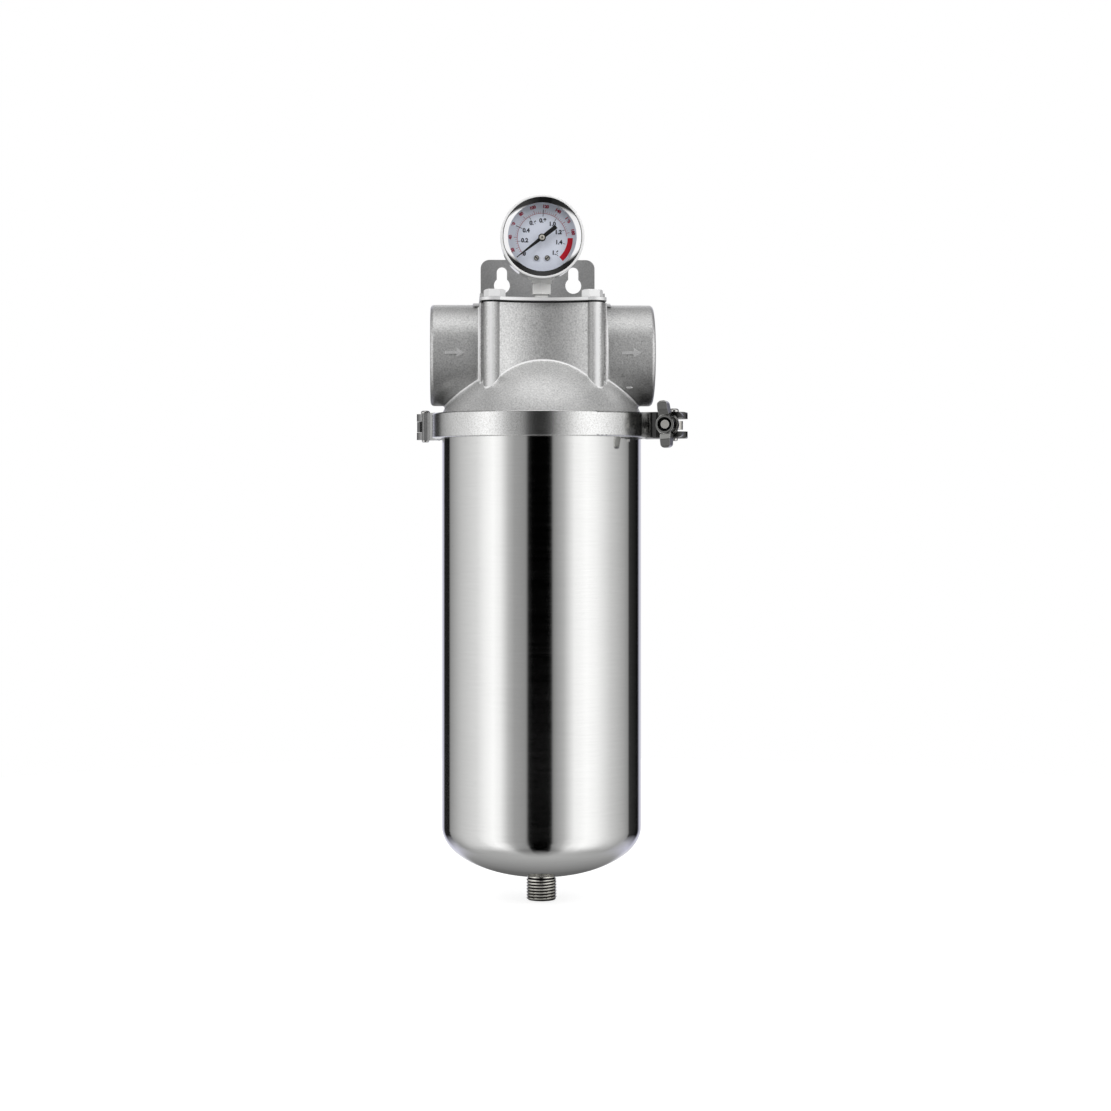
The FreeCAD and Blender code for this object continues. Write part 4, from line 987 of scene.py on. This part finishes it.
def warningBand():
    points, faces = [], []
    sector(points, faces, dial["bandInner"], dial["bandOuter"], dial["bandFrom"], dial["bandTo"],
           dial["bandLift"])
    printOnDial("dialRedBand", meshFrom("dialRedBand", points, faces), redPaint)


def dialText(words, radius, degrees, size, upright):
    curve = bpy.data.curves.new("dialText", "FONT")
    curve.body = words
    curve.size = size * mm
    curve.align_x = "CENTER"
    curve.align_y = "CENTER"
    curve.offset = dial["bold"] * mm
    text = bpy.data.objects.new("dialText", curve)
    scene.collection.objects.link(text)
    lean = 0.0 if upright else math.radians(degrees - 90)
    place = onDial(radius, degrees, dial["textLift"])
    turn = Matrix.Rotation(-lean, 4, Vector((0, 1, 0)))
    text.matrix_world = Matrix.Translation(place) @ turn @ Matrix.Rotation(math.radians(90), 4, "X")
    bpy.context.view_layer.update()
    graph = bpy.context.evaluated_depsgraph_get()
    mesh = bpy.data.meshes.new_from_object(text.evaluated_get(graph))
    mesh.transform(text.matrix_world)
    bpy.data.objects.remove(text)
    return mesh


def joinMeshes(name, meshes):
    form = bmesh.new()
    for mesh in meshes:
        form.from_mesh(mesh)
        bpy.data.meshes.remove(mesh)
    joined = bpy.data.meshes.new(name)
    form.to_mesh(joined)
    form.free()
    return joined


def outerNumbers():
    meshes = []
    for index in range(1, dial["outerCount"]):
        degrees = dial["outerFrom"] - dial["outerStep"] * index
        words = str(index * dial["outerUnits"])
        meshes.append(dialText(words, dial["outerNumber"], degrees, dial["outerSize"], False))
    printOnDial("dialOuterNumbers", joinMeshes("dialOuterNumbers", meshes), redInk)


def innerNumbers():
    meshes = []
    last = dial["innerCount"]
    for index in range(last + 1):
        degrees = dial["start"] - dial["sweep"] * index / last
        words = "0" if index == 0 else "{:.1f}".format(index * dial["innerUnits"])
        reach = {0: dial["zeroNumber"], last: dial["lastNumber"]}.get(index, dial["innerNumber"])
        meshes.append(dialText(words, reach, degrees, dial["innerSize"], True))
    printOnDial("dialInnerNumbers", joinMeshes("dialInnerNumbers", meshes), blackInk)


outerScale()
innerScale()
warningBand()
outerNumbers()
innerNumbers()
print("dial printed")

# Raised flow arrows and a small casting mark on the ports, in millimetres
arrows = {
    "radius": 35.5, "height": 0.8, "sunk": 0.2, "slope": 0.5, "x": (-61.0, 61.0), "length": 13.5,
    "shaft": 2.2, "head": 6.4, "headLength": 5.2,
    "markX": 60.0, "markRise": -25.5, "markLength": 5.0, "markWidth": 1.4, "markTaper": 0.7,
}
markSteel = grainedMetal("markSteel", "mark")


def raisedOnPort(name, outline):
    # outline: (x, distance round the port) corners, laid on the port's front as a low pad with
    # sloped sides
    look = arrows
    top = look["radius"] + look["height"]
    middle = Vector([sum(values) / len(outline) for values in zip(*outline)])

    def place(x, around, radius):
        angle = around / look["radius"]
        return (x * mm, -radius * math.cos(angle) * mm,
                casting["portLevel"] + radius * math.sin(angle) * mm)

    count = len(outline)
    points = [place(x, around, look["radius"] - look["sunk"]) for x, around in outline]
    for x, around in outline:
        toward = (middle - Vector((x, around))).normalized() * look["slope"]
        points.append(place(x + toward.x, around + toward.y, top))
    faces = [tuple(range(count, 2 * count))]
    for index in range(count):
        following = (index + 1) % count
        faces.append((index, following, following + count, index + count))
    newPiece(name, meshFrom(name, points, faces), "housing", markSteel, smooth=False)


def flowMarks():
    look = arrows
    half = look["length"] / 2
    neck = half - look["headLength"]
    shaft, head = look["shaft"] / 2, look["head"] / 2
    for index, middle in enumerate(look["x"]):
        raisedOnPort("flowArrow" + str(index + 1), [
            (middle - half, -shaft), (middle + neck, -shaft), (middle + neck, -head),
            (middle + half, 0), (middle + neck, head), (middle + neck, shaft),
            (middle - half, shaft)])
    long, wide = look["markLength"] / 2, look["markWidth"] / 2
    flat = long * look["markTaper"]
    outline = [(-long, 0), (-flat, -wide), (flat, -wide), (long, 0), (flat, wide), (-flat, wide)]
    raisedOnPort("castMark", [(look["markX"] + x, look["markRise"] + around)
                              for x, around in outline])


flowMarks()
print("casting marks raised")
